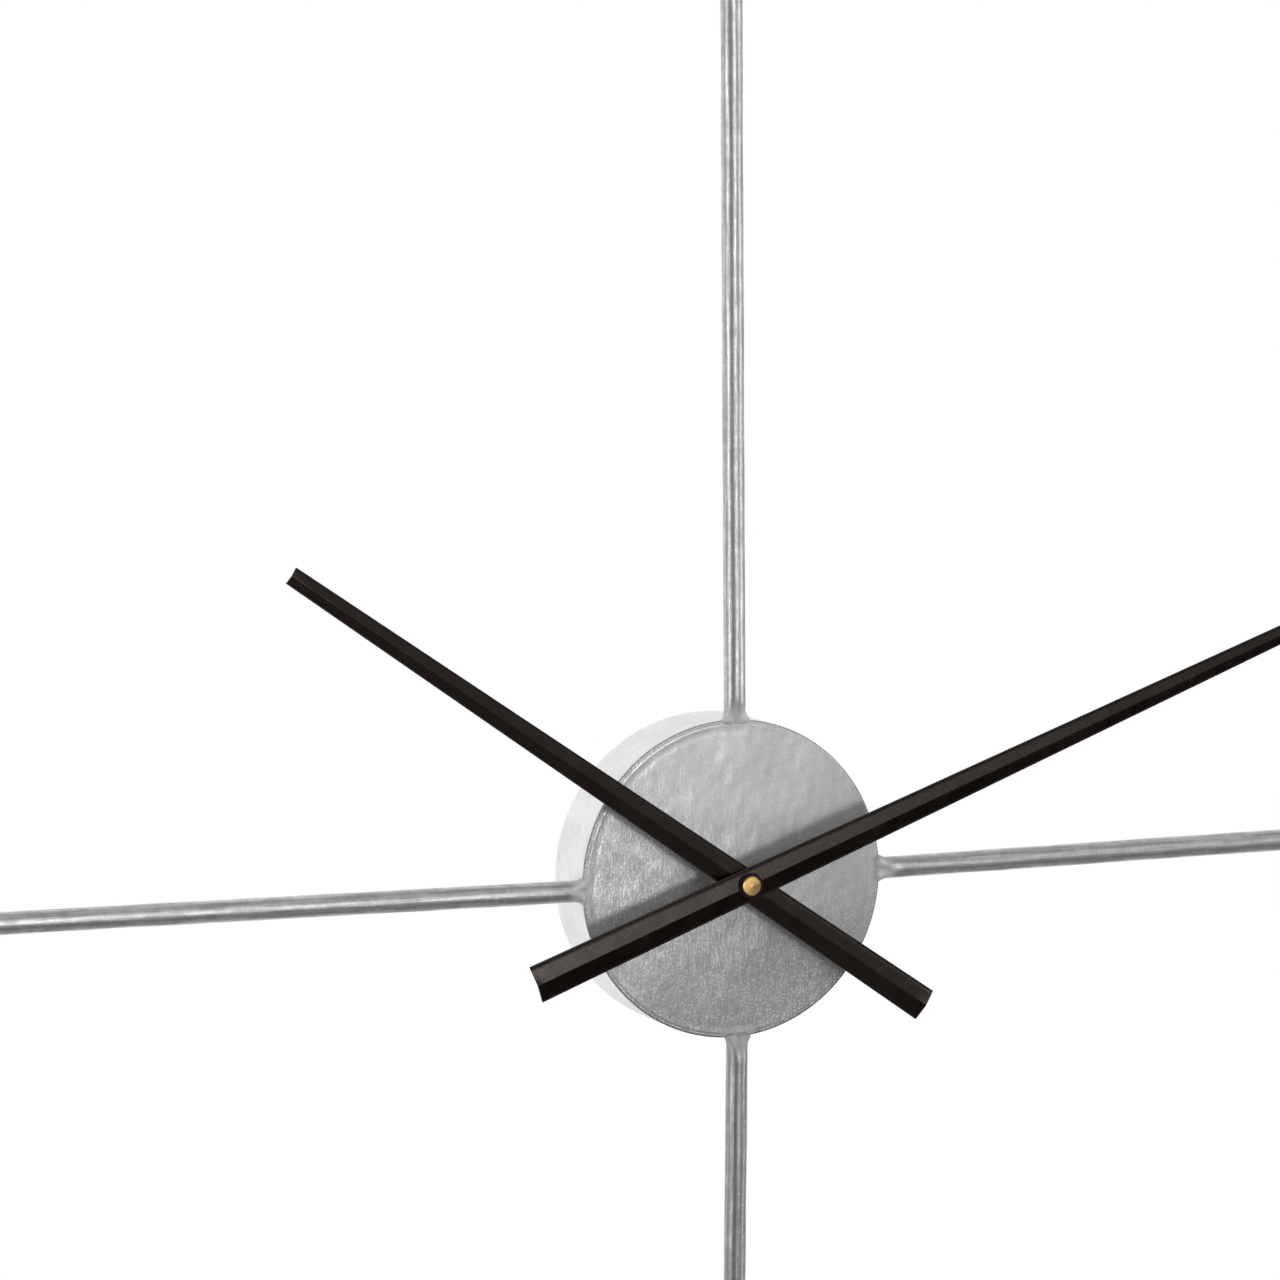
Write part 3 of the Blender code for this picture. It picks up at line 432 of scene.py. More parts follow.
class Effects:
    """Shader node groups that the finishes share, each built when it is first asked for."""

    @staticmethod
    def _group(name: str, *numbers: str) -> tuple[Tree, bpy.types.Node, Socket]:
        """Empty group that takes a place, a cell size and some numbers, and gives one value.

        Args:
            name: Name of the group.
            numbers: Names of its inputs that are numbers.

        Returns:
            The group, the node with its inputs, and the place measured in cells.
        """
        tree = bpy.data.node_groups.new(name, "ShaderNodeTree")
        for label in ("Vector", "Size"):
            tree.interface.new_socket(name=label, in_out="INPUT", socket_type="NodeSocketVector")
        for label in numbers:
            tree.interface.new_socket(name=label, in_out="INPUT", socket_type="NodeSocketFloat")
        tree.interface.new_socket(name="Value", in_out="OUTPUT", socket_type="NodeSocketFloat")
        start = node(tree, "NodeGroupInput")
        return tree, start, vector_step(tree, "DIVIDE", start.outputs["Vector"], start.outputs["Size"])

    @classmethod
    def clouds(cls) -> Tree:
        """Soft blotches or streaks: noise whose cells have the given size along each axis.

        Returns:
            The group.
        """
        if "clouds" in bpy.data.node_groups:
            return bpy.data.node_groups["clouds"]
        tree, start, scaled = cls._group("clouds", "Low", "High")
        noise = node(tree, "ShaderNodeTexNoise", {"Vector": scaled, "Scale": 1.0, "Detail": 5.0,
                                                  "Roughness": 0.6})
        result = ramp(tree, noise.outputs["Fac"], start.outputs["Low"], start.outputs["High"])
        node(tree, "NodeGroupOutput", {"Value": result})
        return tree

    @classmethod
    def hide(cls) -> Tree:
        """Leathery wrinkles: the distance to the edge between rounded cells, bent by noise.

        Returns:
            The group.
        """
        if "hide" in bpy.data.node_groups:
            return bpy.data.node_groups["hide"]
        tree, _, scaled = cls._group("hide")
        bend = node(tree, "ShaderNodeTexNoise", {"Vector": scaled, "Scale": 1.3, "Detail": 3.0})
        bent = vector_step(tree, "MULTIPLY_ADD", bend.outputs["Color"], (1.4, 1.4, 1.4), scaled)
        cells = node(tree, "ShaderNodeTexVoronoi", {"Vector": bent, "Scale": 1.0},
                     feature="DISTANCE_TO_EDGE")
        node(tree, "NodeGroupOutput", {"Value": ramp(tree, cells.outputs["Distance"], 0.0, 0.35)})
        return tree

    @classmethod
    def specks(cls) -> Tree:
        """Small round spots: one where a random point lies closer than the given share of a cell.

        Returns:
            The group.
        """
        if "specks" in bpy.data.node_groups:
            return bpy.data.node_groups["specks"]
        tree, start, scaled = cls._group("specks", "Radius")
        cells = node(tree, "ShaderNodeTexVoronoi", {"Vector": scaled, "Scale": 1.0})
        result = ramp(tree, cells.outputs["Distance"], start.outputs["Radius"], 0.0)
        node(tree, "NodeGroupOutput", {"Value": result})
        return tree


def effect(tree: Tree, group: Tree, **inputs: object) -> Socket:
    """Value of a shared effect placed in a material.

    Args:
        tree: Tree of the material.
        group: The effect.
        inputs: Values of its inputs, by their names in lower case.

    Returns:
        The value.
    """
    made = node(tree, "ShaderNodeGroup", node_tree=group)
    for key, value in inputs.items():
        socket = made.inputs[key.capitalize()]
        if isinstance(value, Socket):
            tree.links.new(value, socket)
        else:
            socket.default_value = value
    return made.outputs["Value"]


def sized(*lengths: float) -> Triple:
    """Cell size in metres from lengths in millimetres."""
    return tuple(length * MM for length in lengths)


def cube(length: float) -> Triple:
    """Cell size in metres of a cube whose side is in millimetres."""
    return sized(length, length, length)


class Finish:
    """A finish that is made a Blender material once, when it is first used."""

    name: str
    metallic = 0.0
    ior = 1.5
    specular = 0.5
    tint = (1.0, 1.0, 1.0)

    def material(self) -> bpy.types.Material:
        """Makes the material of this finish, or finds it.

        Returns:
            The material.
        """
        found = bpy.data.materials.get(self.name)
        if found:
            return found
        material = bpy.data.materials.new(self.name)
        material.use_nodes = True
        tree = material.node_tree
        tree.nodes.clear()
        shader = node(tree, "ShaderNodeBsdfPrincipled", {"Metallic": self.metallic, "IOR": self.ior,
                                                         "Specular IOR Level": self.specular,
                                                         "Specular Tint": (*self.tint, 1.0)})
        node(tree, "ShaderNodeOutputMaterial", {"Surface": shader.outputs["BSDF"]}, is_active_output=True)
        self.paint(tree, shader)
        return material

    def paint(self, tree: Tree, shader: bpy.types.Node) -> None:
        """Lays out the nodes that feed the shader.

        Args:
            tree: Tree of the material.
            shader: Its main shader.
        """
        raise NotImplementedError

    @staticmethod
    def place(tree: Tree) -> Socket:
        """Coordinates of the piece in metres."""
        return node(tree, "ShaderNodeTexCoord").outputs["Object"]

    @staticmethod
    def surface(tree: Tree, shader: bpy.types.Node, colour: Socket, roughness: Socket, height: Socket,
                depth: float) -> None:
        """Links the maps of a finish to its shader.

        Args:
            tree: Tree of the material.
            shader: Its main shader.
            colour: Colour of the surface.
            roughness: Roughness of the surface.
            height: Height of the surface, from zero to one.
            depth: Length that a height of one stands for.
        """
        tree.links.new(colour, shader.inputs["Base Color"])
        tree.links.new(roughness, shader.inputs["Roughness"])
        bump = node(tree, "ShaderNodeBump", {"Height": height, "Distance": depth, "Strength": 1.0})
        tree.links.new(bump.outputs["Normal"], shader.inputs["Normal"])


@dataclass(frozen=True)
class SilverLeaf(Finish):
    """Silver leaf rubbed onto metal: blotches, leathery wrinkles and fine streaks in one direction."""

    name: str
    light: Colour
    dark: Colour
    streak: Triple              # size of a streak in millimetres along each axis
    blotch: float = 9.0
    wrinkle: float = 3.2
    roughness: tuple[float, float] = (0.34, 0.52)
    metallic: float = 0.85
    depth: float = 0.12 * MM
    wrapped: bool = False       # whether the pattern follows the UV map of a rod
    girth: float = 0.0          # length round the rod
    streak_share: float = 0.35
    wrinkle_share: float = 0.25
    grain: float = 0.35
    weld: Colour = (0.74, 0.74, 0.736)
    weld_roughness: float = 0.56
    weld_metallic: float = 0.45
    painted_shade_keep: float = 1.0           # share of the colour kept where the painted shade is deepest
    shade_and_pattern_reach: float = 75.0 * MM           # radius of the plate, over which the two changes below happen
    painted_shade_way: Triple = (0.35, 0.0, -0.94)   # way in which the painted shade deepens
    calm: float = 1.0           # share of the pattern that is left where it is weakest
    rough_way: Triple = (-0.5, 0.0, -0.87)  # way in which the pattern grows stronger

    def coordinates(self, tree: Tree) -> Socket:
        """Place on the piece; on a rod, the length round it and the length along it.

        Args:
            tree: Tree of the material.

        Returns:
            The place in metres.
        """
        if not self.wrapped:
            return self.place(tree)
        source = node(tree, "ShaderNodeUVMap", uv_map="along").outputs["UV"]
        return vector_step(tree, "MULTIPLY", source, (self.girth, 1.0, 1.0))

    def paint(self, tree: Tree, shader: bpy.types.Node) -> None:
        """Colour, roughness and height are sums of blotches, wrinkles and streaks; the colour also darkens
        towards one side, a painted shade.

        Args:
            tree: Tree of the material.
            shader: Its main shader.
        """
        at = self.coordinates(tree)
        blotches = effect(tree, Effects.clouds(), vector=at, size=cube(self.blotch), low=0.3, high=0.7)
        wrinkles = effect(tree, Effects.hide(), vector=at, size=cube(self.wrinkle))
        streaks = effect(tree, Effects.clouds(), vector=at, size=sized(*self.streak), low=0.3, high=0.7)
        grains = effect(tree, Effects.clouds(), vector=at, size=cube(self.grain), low=0.25, high=0.75)
        rest = 1.0 - self.streak_share - self.wrinkle_share
        tone = sums(tree, (blotches, rest), (wrinkles, self.wrinkle_share), (streaks, self.streak_share))
        # Distance along the way in which the painted shade deepens.
        toward_painted_shade = vector_step(tree, "DOT_PRODUCT", self.place(tree), self.painted_shade_way)
        worn = vector_step(tree, "DOT_PRODUCT", self.place(tree), self.rough_way)
        rough_side = ramp(tree, worn, -0.6 * self.shade_and_pattern_reach, 0.4 * self.shade_and_pattern_reach, self.calm, 1.0)
        share = ramp(tree, tone, 0.15, 0.85)
        share = between(tree, rough_side, 0.6, share)
        colour = blend(tree, share, self.dark, self.light)
        pits = effect(tree, Effects.specks(), vector=at, size=cube(2.3), radius=0.13)
        dusty = [0.55 * channel for channel in self.dark]
        colour = blend(tree, ramp(tree, pits, 0.0, 1.0, 0.0, 0.6), colour, dusty)
        uneven = sums(tree, (streaks, 0.5), (blotches, 0.3), (grains, 0.2))
        roughness = ramp(tree, uneven, 0.1, 0.9, self.roughness[1], self.roughness[0])
        height = sums(tree, (blotches, 0.35), (wrinkles, 0.25), (streaks, 0.25), (grains, 0.15),
                      (pits, -0.3))
        height = step(tree, "MULTIPLY", height, rough_side)
        # Painted shade: the colour darkens towards one side of the plate, for light that falls off there;
        # the weld ground darkens with it.
        painted_shade = ramp(tree, toward_painted_shade, -0.3 * self.shade_and_pattern_reach, 0.8 * self.shade_and_pattern_reach, 0.0, 1.0 - self.painted_shade_keep)
        colour = blend(tree, painted_shade, colour, BLACK)
        weld = mark(tree, "weld")
        ground = blend(tree, blotches, [0.84 * channel for channel in self.weld], self.weld)
        ground = blend(tree, painted_shade, ground, BLACK)
        colour = blend(tree, weld, colour, ground)
        steady = ramp(tree, grains, 0.0, 1.0, self.weld_roughness + 0.05, self.weld_roughness - 0.05)
        roughness = between(tree, weld, roughness, steady)
        level = sums(tree, (blotches, 0.4), (grains, 0.3), (wrinkles, 0.2))
        height = between(tree, weld, height, level)
        metal = ramp(tree, weld, 0.0, 1.0, self.metallic, self.weld_metallic)
        tree.links.new(metal, shader.inputs["Metallic"])
        self.surface(tree, shader, colour, roughness, height, self.depth)


@dataclass(frozen=True)
class SatinPaint(Finish):
    """Dark stove paint with a fine orange skin, rubbed thin along the edges."""

    name: str
    light: Colour
    dark: Colour
    edge: Colour
    roughness: tuple[float, float] = (0.22, 0.30)
    specular: float = 0.46
    tint: Colour = (1.0, 0.88, 0.82)
    # painted shade: near-black colour of the pressed groove beside the rim
    groove_shade: Colour = (0.001, 0.0006, 0.0005)
    depth: float = 0.02 * MM

    def paint(self, tree: Tree, shader: bpy.types.Node) -> None:
        """Paint over metal, rubbed where the mark edge is one, with a dark line of painted shade along the
        pressed groove, where its mark is one.

        Args:
            tree: Tree of the material.
            shader: Its main shader.
        """
        at = self.place(tree)
        cloudy = effect(tree, Effects.clouds(), vector=at, size=cube(14.0), low=0.3, high=0.7)
        skin_waves = effect(tree, Effects.clouds(), vector=at, size=cube(0.9), low=0.2, high=0.8)
        dust = effect(tree, Effects.specks(), vector=at, size=cube(3.4), radius=0.07)
        edge = mark(tree, "edge")
        worn = effect(tree, Effects.clouds(), vector=at, size=cube(5.0), low=0.45, high=0.62)
        rubbed = step(tree, "MULTIPLY", edge, worn)
        colour = blend(tree, cloudy, self.dark, self.light)
        pale = [4.0 * channel for channel in self.light]
        colour = blend(tree, ramp(tree, dust, 0.0, 1.0, 0.0, 0.25), colour, pale)
        colour = blend(tree, ramp(tree, rubbed, 0.0, 1.0, 0.0, 0.8), colour, self.edge)
        tree.links.new(ramp(tree, rubbed, 0.4, 1.0, 0.0, 0.5), shader.inputs["Metallic"])
        roughness = ramp(tree, sums(tree, (cloudy, 0.6), (skin_waves, 0.4), (edge, 1.2)), 0.1, 2.1,
                         self.roughness[0], 2.0 * self.roughness[1])
        # Painted shade: the pressed groove beside the rim is painted near black and matt.
        groove_shade = mark(tree, "groove_shade")
        colour = blend(tree, ramp(tree, groove_shade, 0.0, 0.7), colour, self.groove_shade)
        roughness = ramp(tree, groove_shade, 0.0, 0.7, roughness, 0.95)
        height = sums(tree, (skin_waves, 0.5), (dust, 0.5))
        self.surface(tree, shader, colour, roughness, height, self.depth)


@dataclass(frozen=True)
class TurnedMetal(Finish):
    """Metal turned on a lathe: fine rings about an axis, slight tarnish, and streaked highlights."""

    name: str
    light: Colour
    dark: Colour
    pitch: float = 0.16         # distance between rings in millimetres
    roughness: tuple[float, float] = (0.2, 0.34)
    metallic: float = 1.0
    streaked: float = 0.0       # anisotropy of the highlight
    dusty: float = 0.3
    depth: float = 0.012 * MM

    def paint(self, tree: Tree, shader: bpy.types.Node) -> None:
        """Rings are a sine of the distance from the spindle's axis; tarnish darkens soft patches.

        Args:
            tree: Tree of the material.
            shader: Its main shader.
        """
        at = self.place(tree)
        away = vector_step(tree, "LENGTH", vector_step(tree, "MULTIPLY", at, (1.0, 0.0, 1.0)))
        rings = step(tree, "SINE", step(tree, "MULTIPLY", away, TAU / (self.pitch * MM)))
        tarnish = effect(tree, Effects.clouds(), vector=at, size=cube(2.6), low=0.35, high=0.7)
        dust = effect(tree, Effects.specks(), vector=at, size=cube(1.1), radius=0.12)
        colour = blend(tree, tarnish, self.light, self.dark)
        colour = blend(tree, ramp(tree, dust, 0.0, 1.0, 0.0, self.dusty), colour, self.dark)
        roughness = ramp(tree, tarnish, 0.0, 1.0, *self.roughness)
        height = sums(tree, (rings, 0.5), (tarnish, self.dusty))
        self.surface(tree, shader, colour, roughness, height, self.depth)
        if self.streaked:
            shader.inputs["Anisotropic"].default_value = self.streaked
            tangent = node(tree, "ShaderNodeTangent", direction_type="UV_MAP", uv_map="along")
            tree.links.new(tangent.outputs["Tangent"], shader.inputs["Tangent"])


@dataclass(frozen=True)
class PlatedSteel(Finish):
    """Zinc-plated sheet: drawn lines, cloudy spangle and a faint blue and yellow cast."""

    name: str
    light: Colour = (0.62, 0.63, 0.64)
    dark: Colour = (0.42, 0.43, 0.44)
    cast: Colour = (0.60, 0.57, 0.46)
    line: Triple = (9.0, 0.3, 0.14)     # size of a drawn line in millimetres along each axis
    roughness: tuple[float, float] = (0.42, 0.26)
    metallic: float = 1.0
    depth: float = 0.02 * MM

    def paint(self, tree: Tree, shader: bpy.types.Node) -> None:
        """Lines run along X; the yellow cast comes and goes in wide clouds.

        Args:
            tree: Tree of the material.
            shader: Its main shader.
        """
        at = self.place(tree)
        lines = effect(tree, Effects.clouds(), vector=at, size=sized(*self.line), low=0.25, high=0.75)
        spangle = effect(tree, Effects.hide(), vector=at, size=cube(4.0))
        cast = effect(tree, Effects.clouds(), vector=at, size=cube(16.0), low=0.4, high=0.75)
        dust = effect(tree, Effects.specks(), vector=at, size=cube(2.0), radius=0.12)
        colour = blend(tree, sums(tree, (lines, 0.5), (spangle, 0.5)), self.dark, self.light)
        colour = blend(tree, ramp(tree, cast, 0.0, 1.0, 0.0, 0.6), colour, self.cast)
        colour = blend(tree, ramp(tree, dust, 0.0, 1.0, 0.0, 0.4), colour, self.dark)
        roughness = ramp(tree, sums(tree, (lines, 0.6), (spangle, 0.4)), 0.0, 1.0, *self.roughness)
        self.surface(tree, shader, colour, roughness, sums(tree, (lines, 0.7), (spangle, 0.3)), self.depth)


@dataclass(frozen=True)
class Moulding(Finish):
    """Moulded plastic or rubber: spark-eroded grain, slow waves of shrinkage, and dust."""

    name: str
    light: Colour
    dark: Colour
    dust_colour: Colour = (0.35, 0.34, 0.32)
    grain: float = 0.28
    roughness: tuple[float, float] = (0.38, 0.55)
    depth: float = 0.03 * MM
    dusty: float = 0.3
    specular: float = 0.5

    def paint(self, tree: Tree, shader: bpy.types.Node) -> None:
        """Grain gives the height; waves of shrinkage change the colour and gloss a little.

        Args:
            tree: Tree of the material.
            shader: Its main shader.
        """
        at = self.place(tree)
        grain = effect(tree, Effects.clouds(), vector=at, size=cube(self.grain), low=0.3, high=0.7)
        shrink = effect(tree, Effects.clouds(), vector=at, size=cube(12.0), low=0.3, high=0.7)
        dust = effect(tree, Effects.specks(), vector=at, size=cube(1.7), radius=0.1)
        colour = blend(tree, sums(tree, (grain, 0.4), (shrink, 0.6)), self.dark, self.light)
        colour = blend(tree, ramp(tree, dust, 0.0, 1.0, 0.0, self.dusty), colour, self.dust_colour)
        roughness = ramp(tree, sums(tree, (grain, 0.4), (shrink, 0.6)), 0.1, 0.9, *self.roughness)
        self.surface(tree, shader, colour, roughness, sums(tree, (grain, 0.8), (shrink, 0.2)), self.depth)


@dataclass(frozen=True)
class CellSleeve(Finish):
    """Printed steel can of a battery: a dark sleeve, a coppery shoulder band and bare steel ends."""

    name: str
    left: float
    right: float
    shoulder: float             # from where the can narrows to the tip of the cap
    band: float = 11.0 * MM
    bare: float = 1.1 * MM
    change: float = 0.1 * MM    # width of the change from one band to the next
    sleeve: tuple[Colour, Colour] = ((0.020, 0.022, 0.026), (0.034, 0.037, 0.043))
    copper: tuple[Colour, Colour] = ((0.50, 0.25, 0.12), (0.62, 0.34, 0.17))
    steel: tuple[Colour, Colour] = ((0.52, 0.52, 0.52), (0.66, 0.66, 0.65))
    scuff: Colour = (0.28, 0.28, 0.29)
    roughness: tuple[float, float] = (0.24, 0.42)
    depth: float = 0.015 * MM

    def paint(self, tree: Tree, shader: bpy.types.Node) -> None:
        """The bands are steps of the place along X, from the cell's ends.

        Args:
            tree: Tree of the material.
            shader: Its main shader.
        """
        at = self.place(tree)
        along = node(tree, "ShaderNodeSeparateXYZ", {0: at}).outputs["X"]
        scuffs = effect(tree, Effects.clouds(), vector=at, size=sized(3.0, 0.4, 0.4), low=0.5, high=0.75)
        cloudy = effect(tree, Effects.clouds(), vector=at, size=cube(7.0), low=0.3, high=0.7)
        start = self.right - self.band
        band = ramp(tree, along, start, start + self.change)
        end = self.right - self.shoulder
        tip = ramp(tree, along, end, end + self.change)
        foot = ramp(tree, along, self.left + self.bare + self.change, self.left + self.bare)
        body, copper, steel = [blend(tree, cloudy, *pair) for pair in (self.sleeve, self.copper, self.steel)]
        colour = blend(tree, band, body, copper)
        colour = blend(tree, ramp(tree, scuffs, 0.0, 1.0, 0.0, 0.35), colour, self.scuff)
        bare = step(tree, "MAXIMUM", tip, foot)
        metal = step(tree, "MAXIMUM", bare, band)
        tree.links.new(ramp(tree, metal, 0.0, 1.0, 0.15, 0.95), shader.inputs["Metallic"])
        colour = blend(tree, bare, colour, steel)
        roughness = ramp(tree, sums(tree, (cloudy, 0.4), (scuffs, 0.6)), 0.0, 1.0, *self.roughness)
        self.surface(tree, shader, colour, roughness, sums(tree, (scuffs, 0.6), (cloudy, 0.4)), self.depth)


@dataclass(frozen=True)
class Windings(Finish):
    """Enamelled copper wire wound about the X axis."""

    name: str
    wire: float = 0.12          # thickness of the wire in millimetres
    # light is a painted highlight on each wire's crown; dark is painted shade between turns.
    light: Colour = (0.78, 0.34, 0.14)
    dark: Colour = (0.30, 0.10, 0.035)
    roughness: tuple[float, float] = (0.22, 0.34)
    depth: float = 0.03 * MM

    def paint(self, tree: Tree, shader: bpy.types.Node) -> None:
        """Each turn is one wave of a sine of the place along X, bent a little by noise; its colour is light
        on the wire's crown and dark between turns, a painted highlight and painted shade.

        Args:
            tree: Tree of the material.
            shader: Its main shader.
        """
        at = self.place(tree)
        along = node(tree, "ShaderNodeSeparateXYZ", {0: at}).outputs["X"]
        drift = effect(tree, Effects.clouds(), vector=at, size=cube(1.5), low=0.2, high=0.8)
        angle = sums(tree, (along, TAU / (self.wire * MM)), (drift, 3.0))
        turns = step(tree, "SINE", angle)
        share = ramp(tree, turns, -1.0, 1.0)
        # Painted highlight on each crown and painted shade between turns.
        colour = blend(tree, share, self.dark, self.light)
        roughness = ramp(tree, drift, 0.0, 1.0, *self.roughness)
        tree.links.new(ramp(tree, share, 0.0, 1.0, 0.7, 1.0), shader.inputs["Metallic"])
        self.surface(tree, shader, colour, roughness, share, self.depth)


@dataclass(frozen=True)
class SolderMask(Finish):
    """Circuit board: green mask over copper tracks, with tinned pads."""

    name: str
    light: Colour = (0.03, 0.19, 0.085)
    dark: Colour = (0.012, 0.10, 0.045)
    tin: Colour = (0.70, 0.69, 0.66)
    roughness: tuple[float, float] = (0.25, 0.38)
    depth: float = 0.05 * MM

    def paint(self, tree: Tree, shader: bpy.types.Node) -> None:
        """Tracks are the edges of square cells; pads are spots.

        Args:
            tree: Tree of the material.
            shader: Its main shader.
        """
        at = self.place(tree)
        scaled = vector_step(tree, "DIVIDE", at, cube(2.1))
        cells = node(tree, "ShaderNodeTexVoronoi", {"Vector": scaled, "Scale": 1.0}, distance="CHEBYCHEV")
        tracks = ramp(tree, cells.outputs["Distance"], 0.30, 0.34)
        pads = effect(tree, Effects.specks(), vector=at, size=cube(2.6), radius=0.3)
        weave = effect(tree, Effects.clouds(), vector=at, size=cube(0.5), low=0.3, high=0.7)
        tinned = ramp(tree, pads, 0.4, 0.5)
        colour = blend(tree, tinned, blend(tree, tracks, self.dark, self.light), self.tin)
        tree.links.new(tinned, shader.inputs["Metallic"])
        roughness = ramp(tree, weave, 0.0, 1.0, *self.roughness)
        height = sums(tree, (tracks, 0.5), (pads, 0.4), (weave, 0.1))
        self.surface(tree, shader, colour, roughness, height, self.depth)


ROD_GIRTH = 32.0 * MM       # round a rod
DOME = 0.8 * MM             # how far the plate falls away from its middle to its edge
# The face leaf darkens towards the lower right: painted shade for the light falling off there.
FACE_LEAF = SilverLeaf("leaf_on_face", light=(0.82, 0.82, 0.816), dark=(0.49, 0.49, 0.487),
                       streak=(0.7, 0.7, 5.0), blotch=9.0, wrinkle=1.8, grain=0.9, metallic=0.75,
                       roughness=(0.34, 0.48), depth=0.095 * MM, streak_share=0.45, wrinkle_share=0.35,
                       painted_shade_keep=0.75, calm=0.32)
WALL_LEAF = SilverLeaf("leaf_on_wall", light=(0.96, 0.96, 0.955), dark=(0.89, 0.89, 0.885),
                       streak=(1.2, 1.2, 7.0), blotch=16.0, wrinkle=6.0, roughness=(0.42, 0.55),
                       depth=0.03 * MM)
ROD_LEAF = SilverLeaf("leaf_on_rods", light=(0.74, 0.74, 0.735), dark=(0.46, 0.46, 0.458),
                      streak=(1.3, 40.0, 1.0), blotch=8.0, wrinkle=3.0, roughness=(0.36, 0.44),
                      wrapped=True, girth=ROD_GIRTH, streak_share=0.6, wrinkle_share=0.12, depth=0.07 * MM)
# Bottom rod: the rod leaf with darker colours, painted shade for the key light's reflection that this rod
# doesn't catch.
SHADED_LOW_ROD_LEAF = replace(ROD_LEAF, name="leaf_on_low_rod_shaded", light=(0.52, 0.52, 0.516), dark=(0.32, 0.32, 0.318),
                       weld=(0.50, 0.50, 0.497))
HAND_PAINT = SatinPaint("brown_stove_paint", light=(0.0072, 0.0034, 0.0027), dark=(0.0046, 0.0020, 0.0016),
                        edge=(0.055, 0.022, 0.014))
NUT_BRASS = TurnedMetal("turned_brass", light=(0.74, 0.49, 0.20), dark=(0.62, 0.39, 0.15), streaked=0.7,
                        roughness=(0.32, 0.38), pitch=0.3, depth=0.003 * MM, dusty=0.1)
PLAIN_BRASS = TurnedMetal("drawn_brass", light=(0.76, 0.54, 0.24), dark=(0.55, 0.36, 0.13), pitch=0.3)
STEEL = PlatedSteel("zinc_plate")
BLACKED = Moulding("blacked_washer", light=(0.010, 0.008, 0.007), dark=(0.005, 0.004, 0.004), dusty=0.05,
                   specular=0.15)
BLACK_CASE = Moulding("black_case", light=(0.030, 0.030, 0.032), dark=(0.018, 0.018, 0.019))
BLACK_KNOB = Moulding("black_knob", light=(0.040, 0.040, 0.042), dark=(0.022, 0.022, 0.023), grain=0.18)
WHITE_WHEEL = Moulding("white_acetal", light=(0.84, 0.83, 0.79), dark=(0.74, 0.73, 0.68), grain=0.4,
                       roughness=(0.3, 0.42), depth=0.01 * MM, dusty=0.15)
FOOT_RUBBER = Moulding("black_rubber", light=(0.045, 0.045, 0.044), dark=(0.022, 0.022, 0.022), grain=0.2,
                       roughness=(0.62, 0.82), depth=0.05 * MM, dusty=0.5)
WIRE = Windings("copper_wire")
BOARD = SolderMask("green_board")


def settle(piece: Piece, finish: Finish, *nodes: str) -> Piece:
    """Dresses a new piece, lets it stand for CAD nodes and puts it on their body.

    Args:
        piece: The new piece.
        finish: Its finish.
        nodes: The CAD nodes that it stands for, all on one body.

    Returns:
        The piece.
    """
    piece.data.materials.append(finish.material())
    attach(piece, BODY_OF[nodes[0]])
    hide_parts(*nodes)
    LOG.info("%s stands for %s", piece.name, ", ".join(nodes))
    return piece


def dress(finish: Finish, *nodes: str) -> None:
    """Gives CAD nodes whose shape is right their finish.

    Args:
        finish: The finish.
        nodes: The CAD nodes.
    """
    for name in nodes:
        mesh = frame["nodes"][name].data
        mesh.materials.clear()
        mesh.materials.append(finish.material())
        LOG.info("%s keeps its shape", name)


# ---- The rods --------------------------------------------------------------------------------------------

def plate_level() -> float:
    """Place along Y of the flat of the front plate."""
    return span("front_plate", 1)[0] + 0.7 * MM


@dataclass(frozen=True)
class Lump:
    """A bead of weld: a rounded bump at a place beside a rod's root."""

    outward: float              # from the drum's edge, along the rod
    aside: float                # from the rod's axis
    height: float
    size: float


